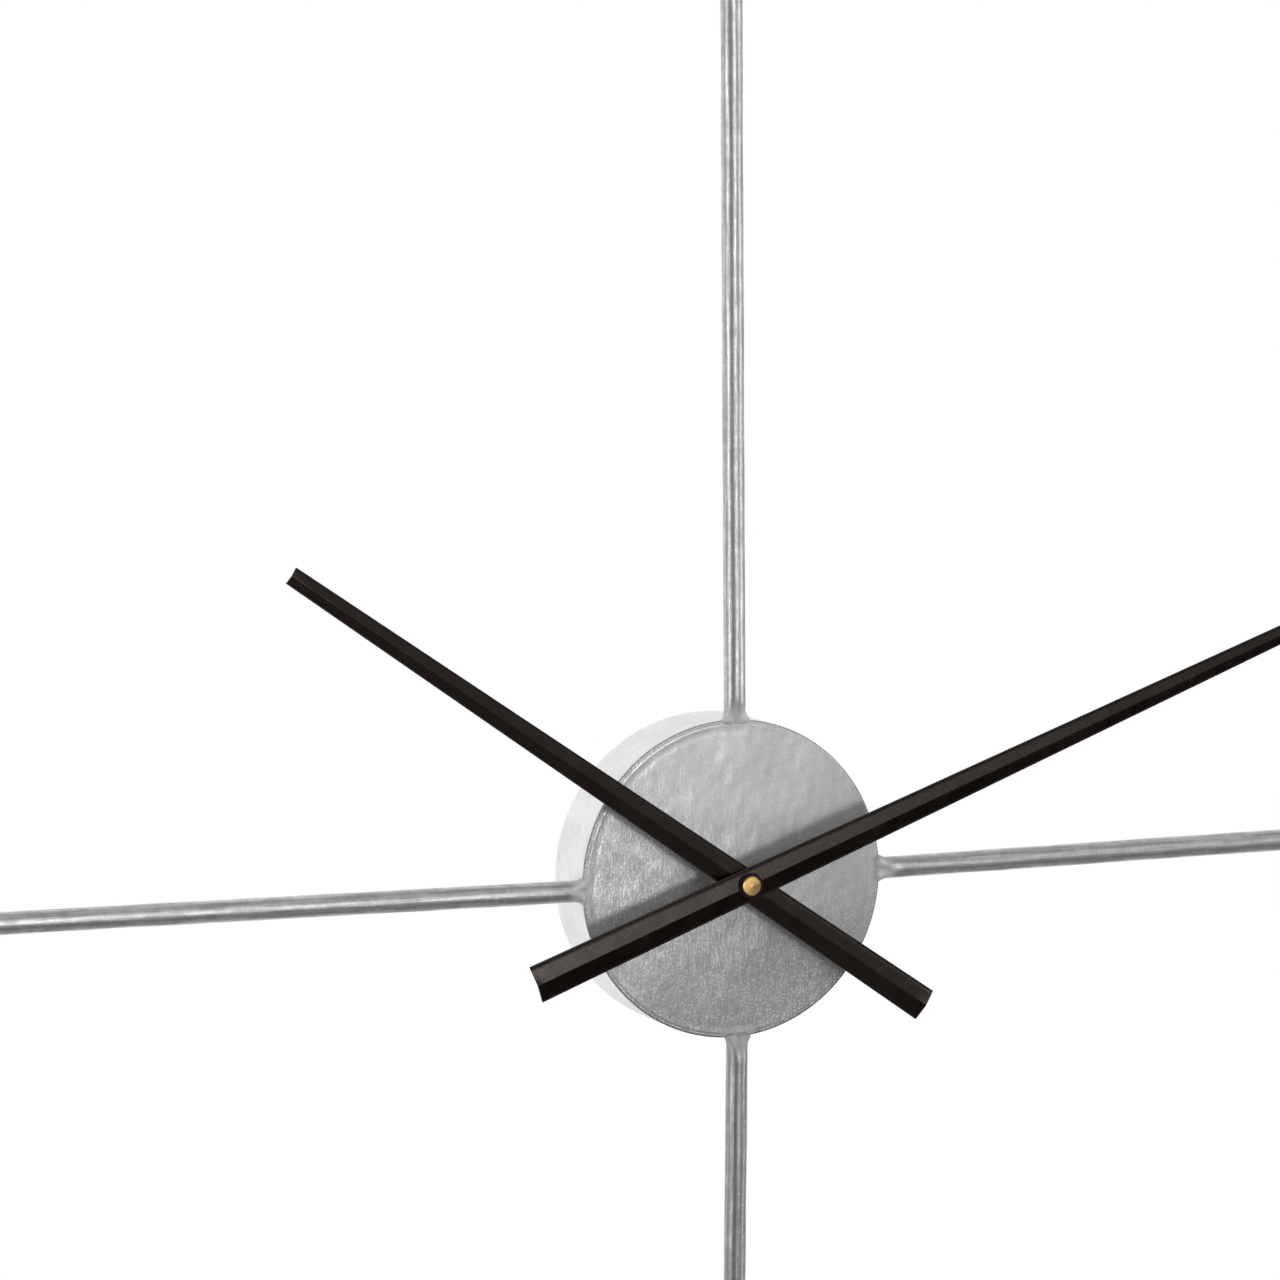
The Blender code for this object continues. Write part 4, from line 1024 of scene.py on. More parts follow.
@dataclass
class Rod:
    """One round rod: where it starts, where it points and how thick it is, all from its CAD node."""

    node: str
    seed: int
    lumps: tuple[Lump, ...] = ()
    finish: SilverLeaf = ROD_LEAF
    drum_radius: float = field(init=False)
    direction: Array = field(init=False)    # unit vector in the plane of the clock
    start: Array = field(init=False)        # point of the axis nearest to the drum's edge
    length: float = field(init=False)       # from start to the far end
    radius: float = field(init=False)
    along_step: float = 3.5 * MM
    root_step: float = 0.3 * MM
    root_length: float = 5.0 * MM
    flare: float = 1.3 * MM
    plain_reach: tuple[float, float] = (6.0 * MM, 20.0 * MM)    # stretch of plain shaft beyond the drum
    sink: tuple[float, float] = (-3.5 * MM, 8.5 * MM)   # where the front leaves the plate and is full
    buried: float = 2.0 * MM            # how far the rod goes on inside the drum
    end_round: float = 1.2 * MM
    dents: tuple[float, float] = (0.012, 11.0 * MM)     # share of the radius, and their length
    ripples: tuple[float, float] = (0.005, 3.0 * MM)    # the same, for the finer unevenness
    weld_inner: float = 6.0 * MM        # how far the weld spreads onto the plate
    weld_outer: float = 10.0 * MM       # and along the rod
    count: int = 56

    def __post_init__(self) -> None:
        """Reads the axis from the CAD node: the middle of its far end and of the shaft next to the root."""
        self.drum_radius = span("drum_wall", 0)[1]
        points = cloud(self.node)
        reach = np.hypot(points[:, 0], points[:, 2])
        nearest, furthest = self.plain_reach
        shaft = points[(reach > self.drum_radius + nearest) & (reach < self.drum_radius + furthest)]
        far = points[reach > reach.max() - 2.0 * MM]
        near_middle = (shaft.min(0) + shaft.max(0)) / 2.0
        far_middle = (far.min(0) + far.max(0)) / 2.0
        run = far_middle - near_middle
        self.direction = run / np.linalg.norm(run)
        self.start = near_middle + self.direction * (self.drum_radius - near_middle @ self.direction)
        self.length = float(((points - self.start) @ self.direction).max())
        self.radius = float((shaft[:, 1].max() - shaft[:, 1].min()) / 2.0)

    def sideways(self) -> Array:
        """Unit vector across the rod, in the plane of the clock."""
        return np.cross(self.direction, (0.0, 1.0, 0.0))

    def proud(self) -> float:
        """How far the rod's front stands in front of the plate."""
        return self.radius - (float(self.start[1]) - plate_level())

    def weld(self, points: Array) -> Array:
        """Share of weld: one at the root, fading out along the rod and across it.

        Args:
            points: Rows of points.

        Returns:
            The share at each point.
        """
        outward = (points - self.start) @ self.direction
        aside = np.abs((points - self.start) @ self.sideways())
        reached = smooth(-self.weld_inner, -0.35 * self.weld_inner, outward)
        left = 1.0 - smooth(0.3 * self.weld_outer, self.weld_outer, outward)
        return reached * left * (1.0 - smooth(1.2 * self.radius, 2.0 * self.radius, aside))

    def stations(self) -> Array:
        """Places along the axis: close together at the root and wider along the shaft.

        Returns:
            The distance of each from the start.
        """
        root = np.arange(-self.buried, self.root_length, self.root_step)
        shaft = np.linspace(self.root_length, self.length - self.end_round,
                            int((self.length - self.root_length) / self.along_step))
        return np.concatenate([root, shaft])

    def build(self) -> Piece:
        """Surface of the rod.

        The radius at angle a and place s is r (1 + unevenness), plus the fillet f (1 - s/L)^2.4 (1 - c)
        beside and behind the root, where c is a smooth step of cos a that is one in front. In front it is
        less by the height of the rod above the plate, times cos a squared, until it has left the plate. Both
        ends close in points, the far one over a quarter circle.

        Returns:
            The rod.
        """
        place = self.stations()[None]
        angle = (TAU * np.arange(self.count) / self.count)[:, None]
        around, along = angle * self.radius + 0.0 * place, place + 0.0 * angle
        (dent, dent_length), (ripple, ripple_length) = self.dents, self.ripples
        uneven = dent * waves(np.cos(angle) * 9.0 * MM + 0.0 * place, along * 0.30, dent_length, self.seed)
        uneven += ripple * waves(around, along * 0.5, ripple_length, self.seed + 50)
        reach = np.clip(1.0 - np.abs(place) / self.root_length, 0.0, 1.0) ** 2.4
        front = smooth(0.15, 0.85, np.cos(angle))
        radius = self.radius * (1.0 + uneven) + self.flare * reach * (1.0 - front)
        sunk = (self.proud() + DOME) * (1.0 - smooth(*self.sink, place))
        radius = radius - sunk * np.clip(np.cos(angle), 0.0, 1.0) ** 2
        taper = smooth(-0.4 * self.buried, -self.buried, place + 0.0 * angle)
        radius = radius - 0.25 * self.radius * taper
        for lump in self.lumps:
            gap = np.hypot(self.radius * np.sin(angle) - lump.aside, place - lump.outward) / lump.size
            radius = radius + lump.height * np.exp(-gap ** 2) * (np.cos(angle) > -0.4)
        quarter = np.linspace(0.0, TAU / 4.0, 6)[None, 1:]
        tip_radius = radius[:, -1:] - self.end_round * (1.0 - np.cos(quarter))
        tip_place = self.length - self.end_round * (1.0 - np.sin(quarter)) + 0.0 * angle
        zero = 0.0 * angle
        radius = np.concatenate([zero, radius, tip_radius, zero], 1)
        along = np.concatenate([zero - self.buried, along, tip_place, zero + self.length], 1)
        front_way, side_way = np.array((0.0, -1.0, 0.0)), self.sideways()
        grid = self.start + along[..., None] * self.direction
        grid = grid + (radius * np.cos(angle))[..., None] * front_way
        grid = grid + (radius * np.sin(angle))[..., None] * side_way
        piece = skin("rod_" + self.node.split("_")[1], grid, Ends.POINTS, 60.0)
        marked(piece, "weld", self.weld(vertices(piece.data)))
        return settle(piece, self.finish, self.node)


# ---- The drum --------------------------------------------------------------------------------------------

@dataclass
class Drum:
    """Front plate with its pressed rings and weld mounds, and the side wall with its lip."""

    rods: list[Rod]
    count: int = 900
    edge_round: float = 0.8 * MM
    rim_width: float = 9.0 * MM         # of the edge's fine steps, from the outside
    relief: tuple[Triple, ...] = (      # place from the edge, half width and height of each ring near it
        (1.5 * MM, 0.35 * MM, -0.12 * MM),
        (2.5 * MM, 0.7 * MM, 0.10 * MM),
        (5.2 * MM, 1.3 * MM, -0.07 * MM),
    )
    plain_side: float = 0.12            # share of that relief that is left on the right
    worn_foot: float = 0.6              # share of it that is gone at the bottom
    foot: float = 1.1 * MM              # softness of a weld's foot
    wave_height: float = 0.09 * MM
    wave_length: float = 34.0 * MM
    ripple_length: float = 7.0 * MM
    sheet: float = 2.0 * MM             # thickness of the wall
    wall_round: float = 0.7 * MM
    wall_wave: float = 0.07 * MM

    def mounds(self, x: Array, z: Array) -> Array:
        """Height of the welds above the plate.

        Across a rod the height is that of the rod's circle above the plate, run out in a straight slope and
        softened at its foot by k log(1 + exp(h/k)); towards the spindle it falls away in a smooth step.

        Args:
            x: Place of each point along X.
            z: Place of each point along Z.

        Returns:
            The height at each point.
        """
        height = np.zeros_like(x)
        for rod in self.rods:
            side = rod.sideways()
            outward = x * rod.direction[0] + z * rod.direction[2] - rod.drum_radius
            aside = (x - rod.start[0]) * side[0] + (z - rod.start[2]) * side[2]
            set_back = rod.start[1] - plate_level()
            limit = 0.9 * rod.radius
            circle = np.sqrt(rod.radius ** 2 - np.minimum(np.abs(aside), limit) ** 2)
            slope = limit / math.sqrt(rod.radius ** 2 - limit ** 2)
            rise = circle - set_back - slope * np.maximum(np.abs(aside) - limit, 0.0)
            rise = self.foot * np.logaddexp(0.0, rise / self.foot)
            mound = 0.985 * rise * smooth(*rod.sink, outward)
            for lump in rod.lumps:
                gap = np.hypot(aside - lump.aside, outward - lump.outward) / lump.size
                mound = mound + lump.height * np.exp(-gap ** 2) * (outward > -0.5 * rod.drum_radius)
            height = np.maximum(height, mound)
        return height

    def rings(self, x: Array, z: Array, radius: float) -> Array:
        """Height of the rings pressed near the plate's edge.

        Each ring is h exp(-((q - place) / half width)^2), where q is the distance in from the edge. The sum
        fades out on the right, where the edge was ground plain, and partly at the bottom.

        Args:
            x: Place of each point along X.
            z: Place of each point along Z.
            radius: Radius of the plate.

        Returns:
            The height at each point.
        """
        reach = np.hypot(x, z)
        inward = radius - reach
        height = sum(rise * np.exp(-((inward - place) / half) ** 2) for place, half, rise in self.relief)
        left = smooth(-0.55, 0.25, -x / np.maximum(reach, MM))
        pressed = 1.0 + 0.2 * waves(x, z, 22.0 * MM, 5)
        worn = 1.0 - self.worn_foot * smooth(0.45, 0.95, -z / np.maximum(reach, MM))
        share = self.plain_side + (1.0 - self.plain_side) * left * worn
        return height * pressed * share * (inward > 0.5 * MM)

    def plate(self) -> Piece:
        """Front plate: a closed profile turned about the spindle, with relief added to its front.

        Where a point faces forward it moves forward by the welds' height plus slow and quick waves.

        Returns:
            The plate.
        """
        high = span("front_plate", 1)[1]
        radius = span("front_plate", 0)[1]
        hole = float(spindle_distances("front_plate").min())
        face = plate_level()
        flat = np.linspace(hole, radius - self.rim_width, 52)
        rim = np.linspace(radius - self.rim_width, radius - self.edge_round, 40)[1:]
        corner = np.linspace(0.0, TAU / 4.0, 9)[1:]
        turn_r = radius - self.edge_round + self.edge_round * np.sin(corner)
        turn_y = face + self.edge_round * (1.0 - np.cos(corner))
        back = rounded([(radius, turn_y[-1] + 0.1 * MM), (radius, high), (hole, high),
                        (hole, high - 1.0 * MM)], 0.3 * MM, 3)
        profile = np.concatenate([np.stack([flat, np.full_like(flat, face)], 1),
                                  np.stack([rim, np.full_like(rim, face)], 1),
                                  np.stack([turn_r, turn_y], 1), back])
        front_rows = len(flat) + len(rim) + len(corner)
        grid = turned(profile, self.count)
        x, z = grid[..., 0], grid[..., 2]
        mounds = self.mounds(x, z)
        relief = self.wave_height * waves(x, z, self.wave_length, 3)
        relief += 0.22 * self.wave_height * waves(x, z, self.ripple_length, 4)
        relief -= DOME * (np.hypot(x, z) / radius) ** 2
        grid[..., 1] -= self.rings(x, z, radius)
        beside = (mounds - face + grid[..., 1]) * (1.0 - np.exp(-mounds / (0.8 * MM)))
        facing = (np.arange(profile.shape[0]) < front_rows) * smooth(hole, hole + 4.0 * MM, profile[:, 0])
        grid[..., 1] -= (relief + beside) * facing
        piece = skin("plate_front", grid, Ends.LOOP)
        points = vertices(piece.data)
        welds = np.max([rod.weld(points) for rod in self.rods], 0)
        marked(piece, "weld", welds * (points[:, 1] < high - 0.5 * MM))
        return settle(piece, FACE_LEAF, "front_plate")

    def wall(self) -> Piece:
        """Side wall: a closed profile turned about the spindle, its outside slightly uneven.

        Returns:
            The wall.
        """
        low, high = span("drum_wall", 1)
        radius = span("drum_wall", 0)[1]
        lip = float(spindle_distances("drum_wall").min())
        inside = radius - self.sheet
        corners = [(inside, low), (radius, low), (radius, high), (lip, high), (lip, high - self.sheet),
                   (inside, high - self.sheet)]
        profile = rounded(corners, self.wall_round, 4, loop=True)
        profile = divided(np.concatenate([profile, profile[:1]]), 2.5 * MM)[:-1]
        grid = turned(profile, 360)
        angle = np.arctan2(grid[..., 0], grid[..., 2])
        around = radius * angle
        ripple = waves(np.cos(angle) * radius, np.sin(angle) * radius + grid[..., 1], 26.0 * MM, 7)
        off_seam = smooth(0.0, 0.4, np.abs(np.cos(angle / 2.0)))
        ripple += 0.3 * waves(around, grid[..., 1], 5.0 * MM, 8) * off_seam
        outside = smooth(radius - 1.2 * MM, radius, profile[:, 0]) * (-self.wall_wave)
        reach = np.hypot(grid[..., 0], grid[..., 2])
        scale = 1.0 + outside * (1.0 + 0.6 * ripple) / reach
        grid[..., 0] *= scale
        grid[..., 2] *= scale
        return settle(skin("wall_side", grid, Ends.LOOP), WALL_LEAF, "drum_wall")

    def build(self) -> None:
        """Builds the plate and the wall."""
        self.plate()
        self.wall()


# ---- The hands -------------------------------------------------------------------------------------------

@dataclass
class Hand:
    """A long tapering hand of folded sheet with square ends, measured from its CAD node."""

    node: str
    sheet: float = 0.9 * MM
    fold: float = 0.9 * MM              # width of the soft ridge
    edge_round: float = 0.22 * MM
    seam_inset: float = 0.4 * MM        # of the pressed line beside the rim
    seam_width: float = 0.75 * MM
    seam_depth: float = 0.16 * MM
    station_step: float = 9.0 * MM
    end_zone: float = 1.0 * MM          # stretch at each end in which its width is measured
    clearance: float = 4.0 * MM         # of the hole's cutter in front of the hand

    def frame_of(self) -> tuple[Array, Array, Array]:
        """Finds how the hand lies.

        Returns:
            Its direction, the direction across it, and its points in those terms with their height.
        """
        points = cloud(self.node)
        flat = points[:, [0, 2]]
        values, vectors = np.linalg.eigh(flat.T @ flat)
        way = vectors[:, -1]
        along = flat @ way
        if along.max() < -along.min():
            way = -way
        across = np.array((way[1], -way[0]))
        return way, across, np.stack([flat @ way, flat @ across, points[:, 1]], 1)

    def build(self) -> Piece:
        """Surface of the hand.

        The outline tapers in a straight line. Across it the height falls from the ridge by the same slope on
        both sides, and a curve of fold width softens the ridge. The rim is rounded.

        Returns:
            The hand, with its hole.
        """
        way, across, local = self.frame_of()
        tail, tip = local[:, 0].min(), local[:, 0].max()
        at_tail, at_tip = local[local[:, 0] < tail + self.end_zone], local[local[:, 0] > tip - self.end_zone]
        tail_half, tip_half = np.abs(at_tail[:, 1]).max(), np.abs(at_tip[:, 1]).max()
        ridge = local[:, 2].min()
        rim = at_tail[np.abs(at_tail[:, 1]) > 0.98 * tail_half][:, 2].min()
        slope = (rim - ridge) / tail_half
        place = np.linspace(tail, tip, int((tip - tail) / self.station_step))
        ease = self.edge_round * np.array((0.0, 0.3, 1.0))
        place = np.concatenate([tail + ease, place[1:-1], tip - ease[::-1]])
        inset = self.edge_round * np.array((1.0, 0.3, 0.0))
        inset = np.concatenate([inset, np.zeros(len(place) - 6), inset[::-1]])
        half = (tail_half + (tip_half - tail_half) * (place - tail) / (tip - tail))[None, :]
        offsets, heights, marks = self.section(half, slope, inset[None, :])
        grid = np.empty((*offsets.shape, 3))
        grid[..., 0] = place[None] * way[0] + offsets * across[0]
        grid[..., 2] = place[None] * way[1] + offsets * across[1]
        grid[..., 1] = ridge + heights
        piece = skin("hand_" + self.node.split("_")[0], grid, Ends.FACES, 25.0)
        # edge marks the rubbed rim; the second mark places painted shade in the pressed groove.
        for name, values in zip(("edge", "groove_shade"), marks):
            marked(piece, name, np.broadcast_to(values[:, None], offsets.shape).reshape(-1))
        hole = float(spindle_distances(self.node).min())
        bored(piece, hole, ridge - self.clearance, ridge + 2.0 * self.clearance)
        return settle(piece, HAND_PAINT, self.node)

    def section(self, half: Array, slope: float, inset: Array) -> tuple[Array, Array, Array]:
        """Cross-sections, and which of their points are on the rim or in the pressed groove, whose dark
        colour is painted shade.

        The depth behind the ridge at x is slope (sqrt(x^2 + q^2) - q), with q a small share of the fold.

        Args:
            half: Half width at each station.
            slope: Depth for each metre across.
            inset: How far the surface is drawn in at each station, to round the square ends.

        Returns:
            Offsets across and depths of shape (points, stations), and two rows with the rim value and the
            value of the groove's painted shade at each point.
        """
        soft = self.fold / 2.0
        small = self.edge_round
        fold = np.linspace(-1.0, 1.0, 7)[:, None] * soft
        share = np.array((0.75, 0.5, 0.25))[:, None]
        inner = half - self.seam_inset - self.seam_width
        groove = np.array((0.0, 0.5, 1.0))[::-1, None] * self.seam_width + inner
        wing = np.concatenate([half - small + 0.0 * groove[:1], groove, soft + (inner - soft) * share])
        across_top = np.concatenate([-wing, fold + 0.0 * half, wing[::-1]])
        blunt = 0.35 * soft
        depth_top = slope * np.sqrt(across_top ** 2 + blunt ** 2) - slope * blunt
        groove_rows = np.zeros(len(across_top))
        groove_rows[[2, -3]] = 1.0
        depth_top += self.seam_depth * groove_rows[:, None]
        arc = np.linspace(0.0, TAU / 4.0, 4)[1:, None]
        rim_x = half - small + small * np.sin(arc)
        rim_y = slope * (half - small) + small * (1.0 - np.cos(arc))
        bottom_rim = slope * (half - small) + self.sheet
        low_x = half - small + small * np.cos(arc)
        low_y = bottom_rim - small * (1.0 - np.sin(arc))
        across_back = across_top[::-1]
        depth_back = (depth_top - self.seam_depth * groove_rows[:, None])[::-1] + self.sheet
        offsets = np.concatenate([across_top, rim_x, low_x, across_back[1:-1], -low_x[::-1], -rim_x[::-1]])
        depths = np.concatenate([depth_top, rim_y, low_y, depth_back[1:-1], low_y[::-1], rim_y[::-1]])
        top, rim = len(across_top), len(rim_x)
        marks = np.zeros((2, len(offsets)))
        marks[0, top:top + 2 * rim] = 1.0
        marks[0, -2 * rim:] = 1.0
        # The groove's rows carry the mark of its painted shade.
        marks[1, :top] = groove_rows
        centre = slope * half * 0.5 + self.sheet / 2.0
        shrink = 1.0 - inset / np.maximum(half, small)
        depths = centre + (depths - centre) * (1.0 - 0.5 * inset / self.sheet)
        return offsets * shrink, depths, marks


# ---- The hardware on the spindle -------------------------------------------------------------------------

@dataclass
class Hub:
    """Nut, washers, collars, bush and hex nut on the spindle."""

    count: int = 96
    nut_chamfer: float = 0.5 * MM
    cone: float = 0.4 * MM             # how far the nut's middle stands in front of its edge
    groove: float = 0.02 * MM          # depth of the turned grooves
    groove_pitch: float = 0.42 * MM
    bore_depth: float = 0.6 * MM       # how far behind its back the nut's bore ends

    def ring(self, name: str, source: str, finish: Finish, radius: float) -> Piece:
        """Ring with rounded edges in place of a CAD ring, whose ends are flat.

        Args:
            name: Name of the piece.
            source: The CAD ring, which gives the outside and the hole.
            finish: Finish of the ring.
            radius: Rounding of its edges.

        Returns:
            The ring.
        """
        reach = spindle_distances(source)
        low, high = span(source, 1)
        hole, outside = float(reach.min()), float(reach.max())
        profile = rounded([(hole, low), (outside, low), (outside, high), (hole, high)], radius, 4, loop=True)
        return settle(skin(name, turned(profile, self.count), Ends.LOOP), finish, source)

    def nut(self) -> Piece:
        """Cap nut: a shallow cone with a small flat in the middle, turned grooves and a chamfered rim.

        The front's depth is cone r/R plus a groove sine of r.

        Returns:
            The nut.
        """
        low, high = span("cap_nut", 1)
        radius = float(spindle_distances("cap_nut").max())
        bore = float(np.sort(np.unique(spindle_distances("cap_nut").round(6)))[1])
        reach = np.linspace(0.0, radius - self.nut_chamfer, 60)
        depth = self.cone * reach / radius
        depth += self.groove * 0.5 * (1.0 - np.cos(reach / self.groove_pitch * TAU))
        front = np.stack([reach, low + depth * smooth(0.0, 0.5 * MM, reach)], 1)
        floor = high - self.bore_depth
        rim = rounded([tuple(front[-1]), (radius, low + self.cone + self.nut_chamfer), (radius, high),
                       (bore, high), (bore, floor), (0.0, floor)], 0.12 * MM, 3)
        profile = np.concatenate([front, rim[1:]])
        return settle(skin("nut_turned", turned(profile, self.count), Ends.POINTS), NUT_BRASS, "cap_nut")

    def build(self) -> None:
        """Builds the nut and dresses the rings behind it."""
        self.nut()
        self.ring("washer_dark", "nut_washer", BLACKED, 0.16 * MM)
        self.ring("collar_minute", "minute_hand_collar", PLAIN_BRASS, 0.15 * MM)
        self.ring("collar_hour", "hour_hand_collar", PLAIN_BRASS, 0.25 * MM)
        self.ring("washer_plate", "plate_washer", STEEL, 0.12 * MM)
        settle(eased("nut_hex", "bush_nut", 0.3 * MM), PLAIN_BRASS, "bush_nut")
        dress(PLAIN_BRASS, "bush", "hour_wheel")
        dress(STEEL, "minute_arbor")


# ---- The hanging hardware --------------------------------------------------------------------------------

@dataclass
class Hanger:
    """Keyhole plate, its two screws and the rubber feet."""

    foot_round: float = 0.6 * MM
    dish: float = 0.25 * MM             # depth of a foot's face at its middle
    ring: float = 0.03 * MM             # height of the rings on it

    def foot(self, number: int) -> Piece:
        """Rubber foot: a low drum with rounded edges and a dished, ringed face.

        Args:
            number: Which of the four feet.

        Returns:
            The foot.
        """
        source = f"bumper_{number}"
        low, high = span(source, 1)
        centre = middle(source)
        radius = (span(source, 0)[1] - span(source, 0)[0]) / 2.0
        reach = np.linspace(radius - self.foot_round, 0.0, 24)
        sunk = self.dish * (1.0 - smooth(0.0, 0.75 * radius, reach)) + self.ring * np.sin(reach / MM * TAU)
        side = rounded([(0.0, low), (radius, low), (radius, high), (radius - self.foot_round, high)],
                       self.foot_round, 5)
        face = np.stack([reach[1:], high - self.ring - sunk[1:]], 1)
        profile = np.concatenate([side, face])
        grid = turned(profile, 48, (centre[0], 0.0, centre[2]))
        return settle(skin(f"foot_{number}", grid, Ends.POINTS), FOOT_RUBBER, source)

    def build(self) -> None:
        """Builds the plate, screws and feet."""
        settle(eased("keyhole_plate", "hanger_plate", 0.25 * MM), STEEL, "hanger_plate")
        for side in ("left", "right"):
            settle(eased(f"screw_{side}", f"hanger_screw_{side}", 0.2 * MM), STEEL, f"hanger_screw_{side}")
        for number in range(1, 5):
            self.foot(number)


# ---- The movement ----------------------------------------------------------------------------------------

@dataclass
class Movement:
    """Quartz movement: moulded case, battery, contacts and knob, and the train sealed inside."""

    sunk: float = 0.3 * MM              # depth of the cell's flat end inside its crimped rim
    crimp: float = 1.6 * MM             # width of that rim, and of the roll at the other end
    shoulder: float = 2.6 * MM          # from where the can narrows to the tip of the cap
    cap_radius: float = 2.75 * MM
    cap_height: float = 1.45 * MM

    def cell(self) -> Piece:
        """AA cell: a can with a crimped foot, a rolled shoulder and a small positive cap, turned about X.

        Returns:
            The cell.
        """
        left, right = span("battery", 0)
        centre = middle("battery")
        radius = (span("battery", 2)[1] - span("battery", 2)[0]) / 2.0
        inner, neck = radius - self.crimp, right - self.cap_height
        foot = [(0.0, left + self.sunk), (inner, left + self.sunk), (inner + 0.5 * MM, left),
                (radius - 0.2 * MM, left), (radius, left + 2.0 * self.sunk)]
        roll = [(radius, right - self.shoulder), (radius - 0.35 * MM, neck - 0.65 * MM),
                (radius - 0.9 * MM, neck - 0.15 * MM), (inner, neck - 0.25 * MM)]
        cap = [(self.cap_radius + 0.85 * MM, neck), (self.cap_radius, neck),
               (self.cap_radius - 0.05 * MM, right), (0.0, right)]
        profile = rounded(foot + roll + cap, 0.3 * MM, 3)
        grid = turned(profile, 96, (0.0, centre[1], centre[2]), Axis.X)
        sleeve = CellSleeve("cell_sleeve", left, right, self.shoulder)
        return settle(skin("cell_AA", grid, Ends.POINTS), sleeve, "battery")

    def build(self) -> None:
        """Builds what shows behind the drum and dresses what is inside."""
        settle(eased("case_shell", "case_front", 0.4 * MM), BLACK_CASE, "case_front")
        settle(eased("case_cover", "case_rear", 0.35 * MM), BLACK_CASE, "case_rear")
        settle(eased("knob_ribbed", "setting_knob", 0.12 * MM, 2), BLACK_KNOB, "setting_knob")
        for end in ("positive", "negative"):
            settle(eased(f"spring_{end}", f"contact_{end}", 0.12 * MM, 2), STEEL, f"contact_{end}")
        self.cell()
        self.gasket()
        dress(WHITE_WHEEL, "train_bridge", "centre_wheel", "minute_wheel", "third_wheel", "seconds_wheel",
              "fifth_wheel", "coil_bobbin")
        dress(STEEL, "stator", "rotor", "quartz_crystal")
        dress(WIRE, "coil_winding")
        dress(BOARD, "circuit_board")
        dress(BLACK_KNOB, "chip")

    def gasket(self) -> Piece:
        """Rubber washer between the case and the plate."""
        return Hub().ring("gasket_ring", "movement_gasket", FOOT_RUBBER, 0.12 * MM)


# ---- Studio ----------------------------------------------------------------------------------------------

def direction(turn: float, lift: float) -> Vector:
    """Unit vector away from the clock, turned to the right of its front and lifted, both in degrees."""
    a, e = math.radians(turn), math.radians(lift)
    return Vector((math.sin(a) * math.cos(e), -math.cos(a) * math.cos(e), math.sin(e)))


@dataclass
class SoftBox:
    """A rectangular lamp that faces the clock from a direction."""

    name: str
    turn: float                 # degrees round from the front, towards the right
    lift: float                 # degrees above the horizon
    distance: float
    width: float
    height: float
    radiance: float             # light that it gives off for each square metre and steradian

    def build(self, aim: Vector) -> None:
        """Makes the lamp, turned towards a point.

        Args:
            aim: The point that it lights.
        """
        way = direction(self.turn, self.lift)
        light = bpy.data.lights.new(self.name, "AREA")
        light.shape = "RECTANGLE"
        light.size = self.width
        light.size_y = self.height
        light.energy = self.radiance * math.pi * self.width * self.height
        lamp = bpy.data.objects.new(self.name, light)
        lamp.location = aim + way * self.distance
        lamp.rotation_euler = (-way).to_track_quat("-Z", "Y").to_euler()
        lamp.visible_camera = False
        bpy.context.scene.collection.objects.link(lamp)
        LOG.info("lamp %s", self.name)


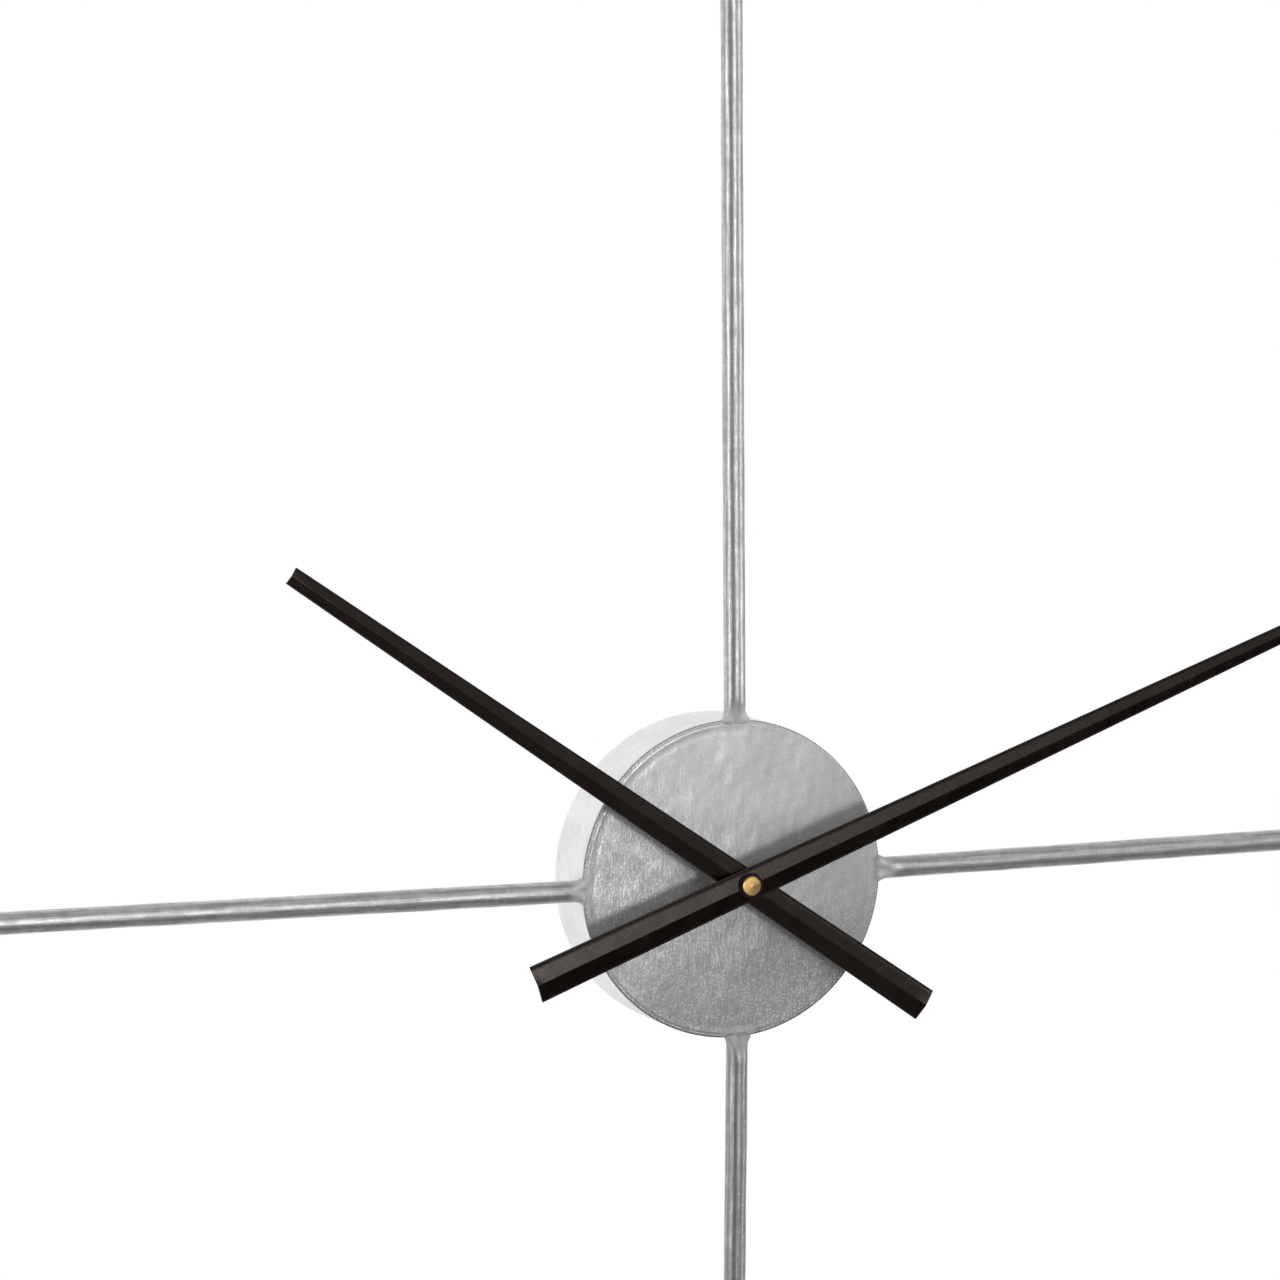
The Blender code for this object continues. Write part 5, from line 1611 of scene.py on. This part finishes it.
@dataclass
class Studio:
    """Camera, lamps, surroundings and floor."""

    camera_turn: float = -22.67         # degrees round from the front, towards the right
    camera_lift: float = 8.75
    camera_distance: float = 3.0
    look_turn: float = -21.84           # where the camera points, as the direction back from it
    look_lift: float = 6.61
    roll: float = -0.25
    lens: float = 180.27                # in millimetres, for the sensor below
    sensor: float = 36.0
    flags: tuple[Triple, ...] = (       # turn, lift and half width of the dark cards in front, in degrees
        (-34.0, 0.0, 42.0),
        (42.0, -31.0, 34.0),
    )
    flag_colour: Colour = (0.03, 0.03, 0.03)
    room_low: Colour = (0.22, 0.22, 0.22)
    room_high: Colour = (0.44, 0.44, 0.44)
    floor_drop: float = 1.6             # of the floor below the spindle
    floor_half: float = 3.2
    boxes: tuple[SoftBox, ...] = (
        SoftBox("key", turn=6.0, lift=-0.5, distance=3.0, width=0.5, height=0.5, radiance=14.3),
        SoftBox("front_box", turn=3.0, lift=18.0, distance=3.0, width=0.9, height=0.6, radiance=4.4),
        SoftBox("left_strip", turn=-71.0, lift=0.0, distance=2.6, width=0.6, height=2.0, radiance=4.2),
        SoftBox("right_strip", turn=63.0, lift=0.0, distance=2.6, width=0.6, height=1.6, radiance=3.6),
    )

    def camera(self, aim: Vector) -> None:
        """Long lens from the left and a little above, rolled slightly.

        Args:
            aim: Middle of the clock's face.
        """
        data = bpy.data.cameras.new("camera")
        data.lens = self.lens
        data.sensor_width = self.sensor
        data.clip_start = 0.1
        data.clip_end = 100.0
        item = bpy.data.objects.new("camera", data)
        back = direction(self.look_turn, self.look_lift)
        right = (-back).cross(Vector((0.0, 0.0, 1.0))).normalized()
        up = right.cross(-back)
        angle = math.radians(self.roll)
        rolled_right = math.cos(angle) * right + math.sin(angle) * up
        rolled_up = -math.sin(angle) * right + math.cos(angle) * up
        turn = Matrix((rolled_right, rolled_up, back)).transposed()
        place = aim + direction(self.camera_turn, self.camera_lift) * self.camera_distance
        item.matrix_world = Matrix.Translation(place) @ turn.to_4x4()
        bpy.context.scene.collection.objects.link(item)
        bpy.context.scene.camera = item

    def surroundings(self) -> None:
        """White sweep behind the clock and a dimmer room in front; the camera sees white everywhere."""
        world = bpy.data.worlds.new("studio")
        bpy.context.scene.world = world
        world.use_nodes = True
        tree = world.node_tree
        tree.nodes.clear()
        way = node(tree, "ShaderNodeTexCoord").outputs["Generated"]
        parts = node(tree, "ShaderNodeSeparateXYZ", {0: way}).outputs
        behind = ramp(tree, parts["Y"], 0.0, 0.8)
        above = ramp(tree, parts["Z"], -0.6, 0.5)
        room = blend(tree, above, self.room_low, self.room_high)
        for turn, lift, half in self.flags:
            shade = vector_step(tree, "DOT_PRODUCT", way, tuple(direction(turn, lift)))
            edge, core = math.cos(math.radians(half)), math.cos(math.radians(0.33 * half))
            room = blend(tree, ramp(tree, shade, edge, core), room, self.flag_colour)
        light = blend(tree, behind, room, WHITE)
        seen = node(tree, "ShaderNodeLightPath").outputs["Is Camera Ray"]
        colour = blend(tree, seen, light, WHITE)
        glow = node(tree, "ShaderNodeBackground", {"Color": colour, "Strength": 1.0})
        node(tree, "ShaderNodeOutputWorld", {"Surface": glow.outputs[0]})

    def floor(self) -> None:
        """Plain pale floor well below the clock."""
        mesh = bpy.data.meshes.new("floor")
        half, drop = self.floor_half, -self.floor_drop
        corners = [(-half, -half, drop), (half, -half, drop), (half, half, drop), (-half, half, drop)]
        mesh.from_pydata(corners, [], [(0, 1, 2, 3)])
        item = bpy.data.objects.new("floor", mesh)
        bpy.context.scene.collection.objects.link(item)
        paint = Moulding("pale_floor", light=(0.84, 0.84, 0.83), dark=(0.80, 0.80, 0.79), grain=2.0,
                         roughness=(0.6, 0.75), dusty=0.0)
        mesh.materials.append(paint.material())
        item.visible_glossy = False

    def build(self, aim: Vector) -> None:
        """Sets up the whole studio.

        Args:
            aim: Middle of the clock's face.
        """
        self.camera(aim)
        self.surroundings()
        self.floor()
        for box in self.boxes:
            box.build(aim)
        bpy.context.scene.view_settings.view_transform = "Standard"


# ---- The clock -------------------------------------------------------------------------------------------


def main() -> None:
    """Builds the studio, the drum with its rods, the hanging hardware, the movement and the hands."""
    logging.basicConfig(level=logging.INFO, format="%(name)s: %(message)s")
    Studio().build(Vector((0.0, plate_level(), 0.0)))
    rods = [
        Rod("arm_top", 11, (Lump(0.4 * MM, -5.4 * MM, 1.0 * MM, 2.3 * MM),)),
        Rod("arm_right", 12, (Lump(-0.9 * MM, -3.8 * MM, 0.3 * MM, 1.0 * MM),
                              Lump(0.8 * MM, 4.4 * MM, 0.3 * MM, 1.0 * MM))),
        Rod("arm_bottom", 13, (Lump(0.4 * MM, 4.6 * MM, 0.4 * MM, 1.4 * MM),), SHADED_LOW_ROD_LEAF),
        Rod("arm_left", 14, (Lump(-0.6 * MM, 4.8 * MM, 0.6 * MM, 1.0 * MM),)),
    ]
    for rod in rods:
        rod.build()
    Drum(rods).build()
    Hanger().build()
    Movement().build()
    Hub().build()
    for name in ("hour_hand", "minute_hand"):
        Hand(name).build()


if __name__ == "__main__":
    main()
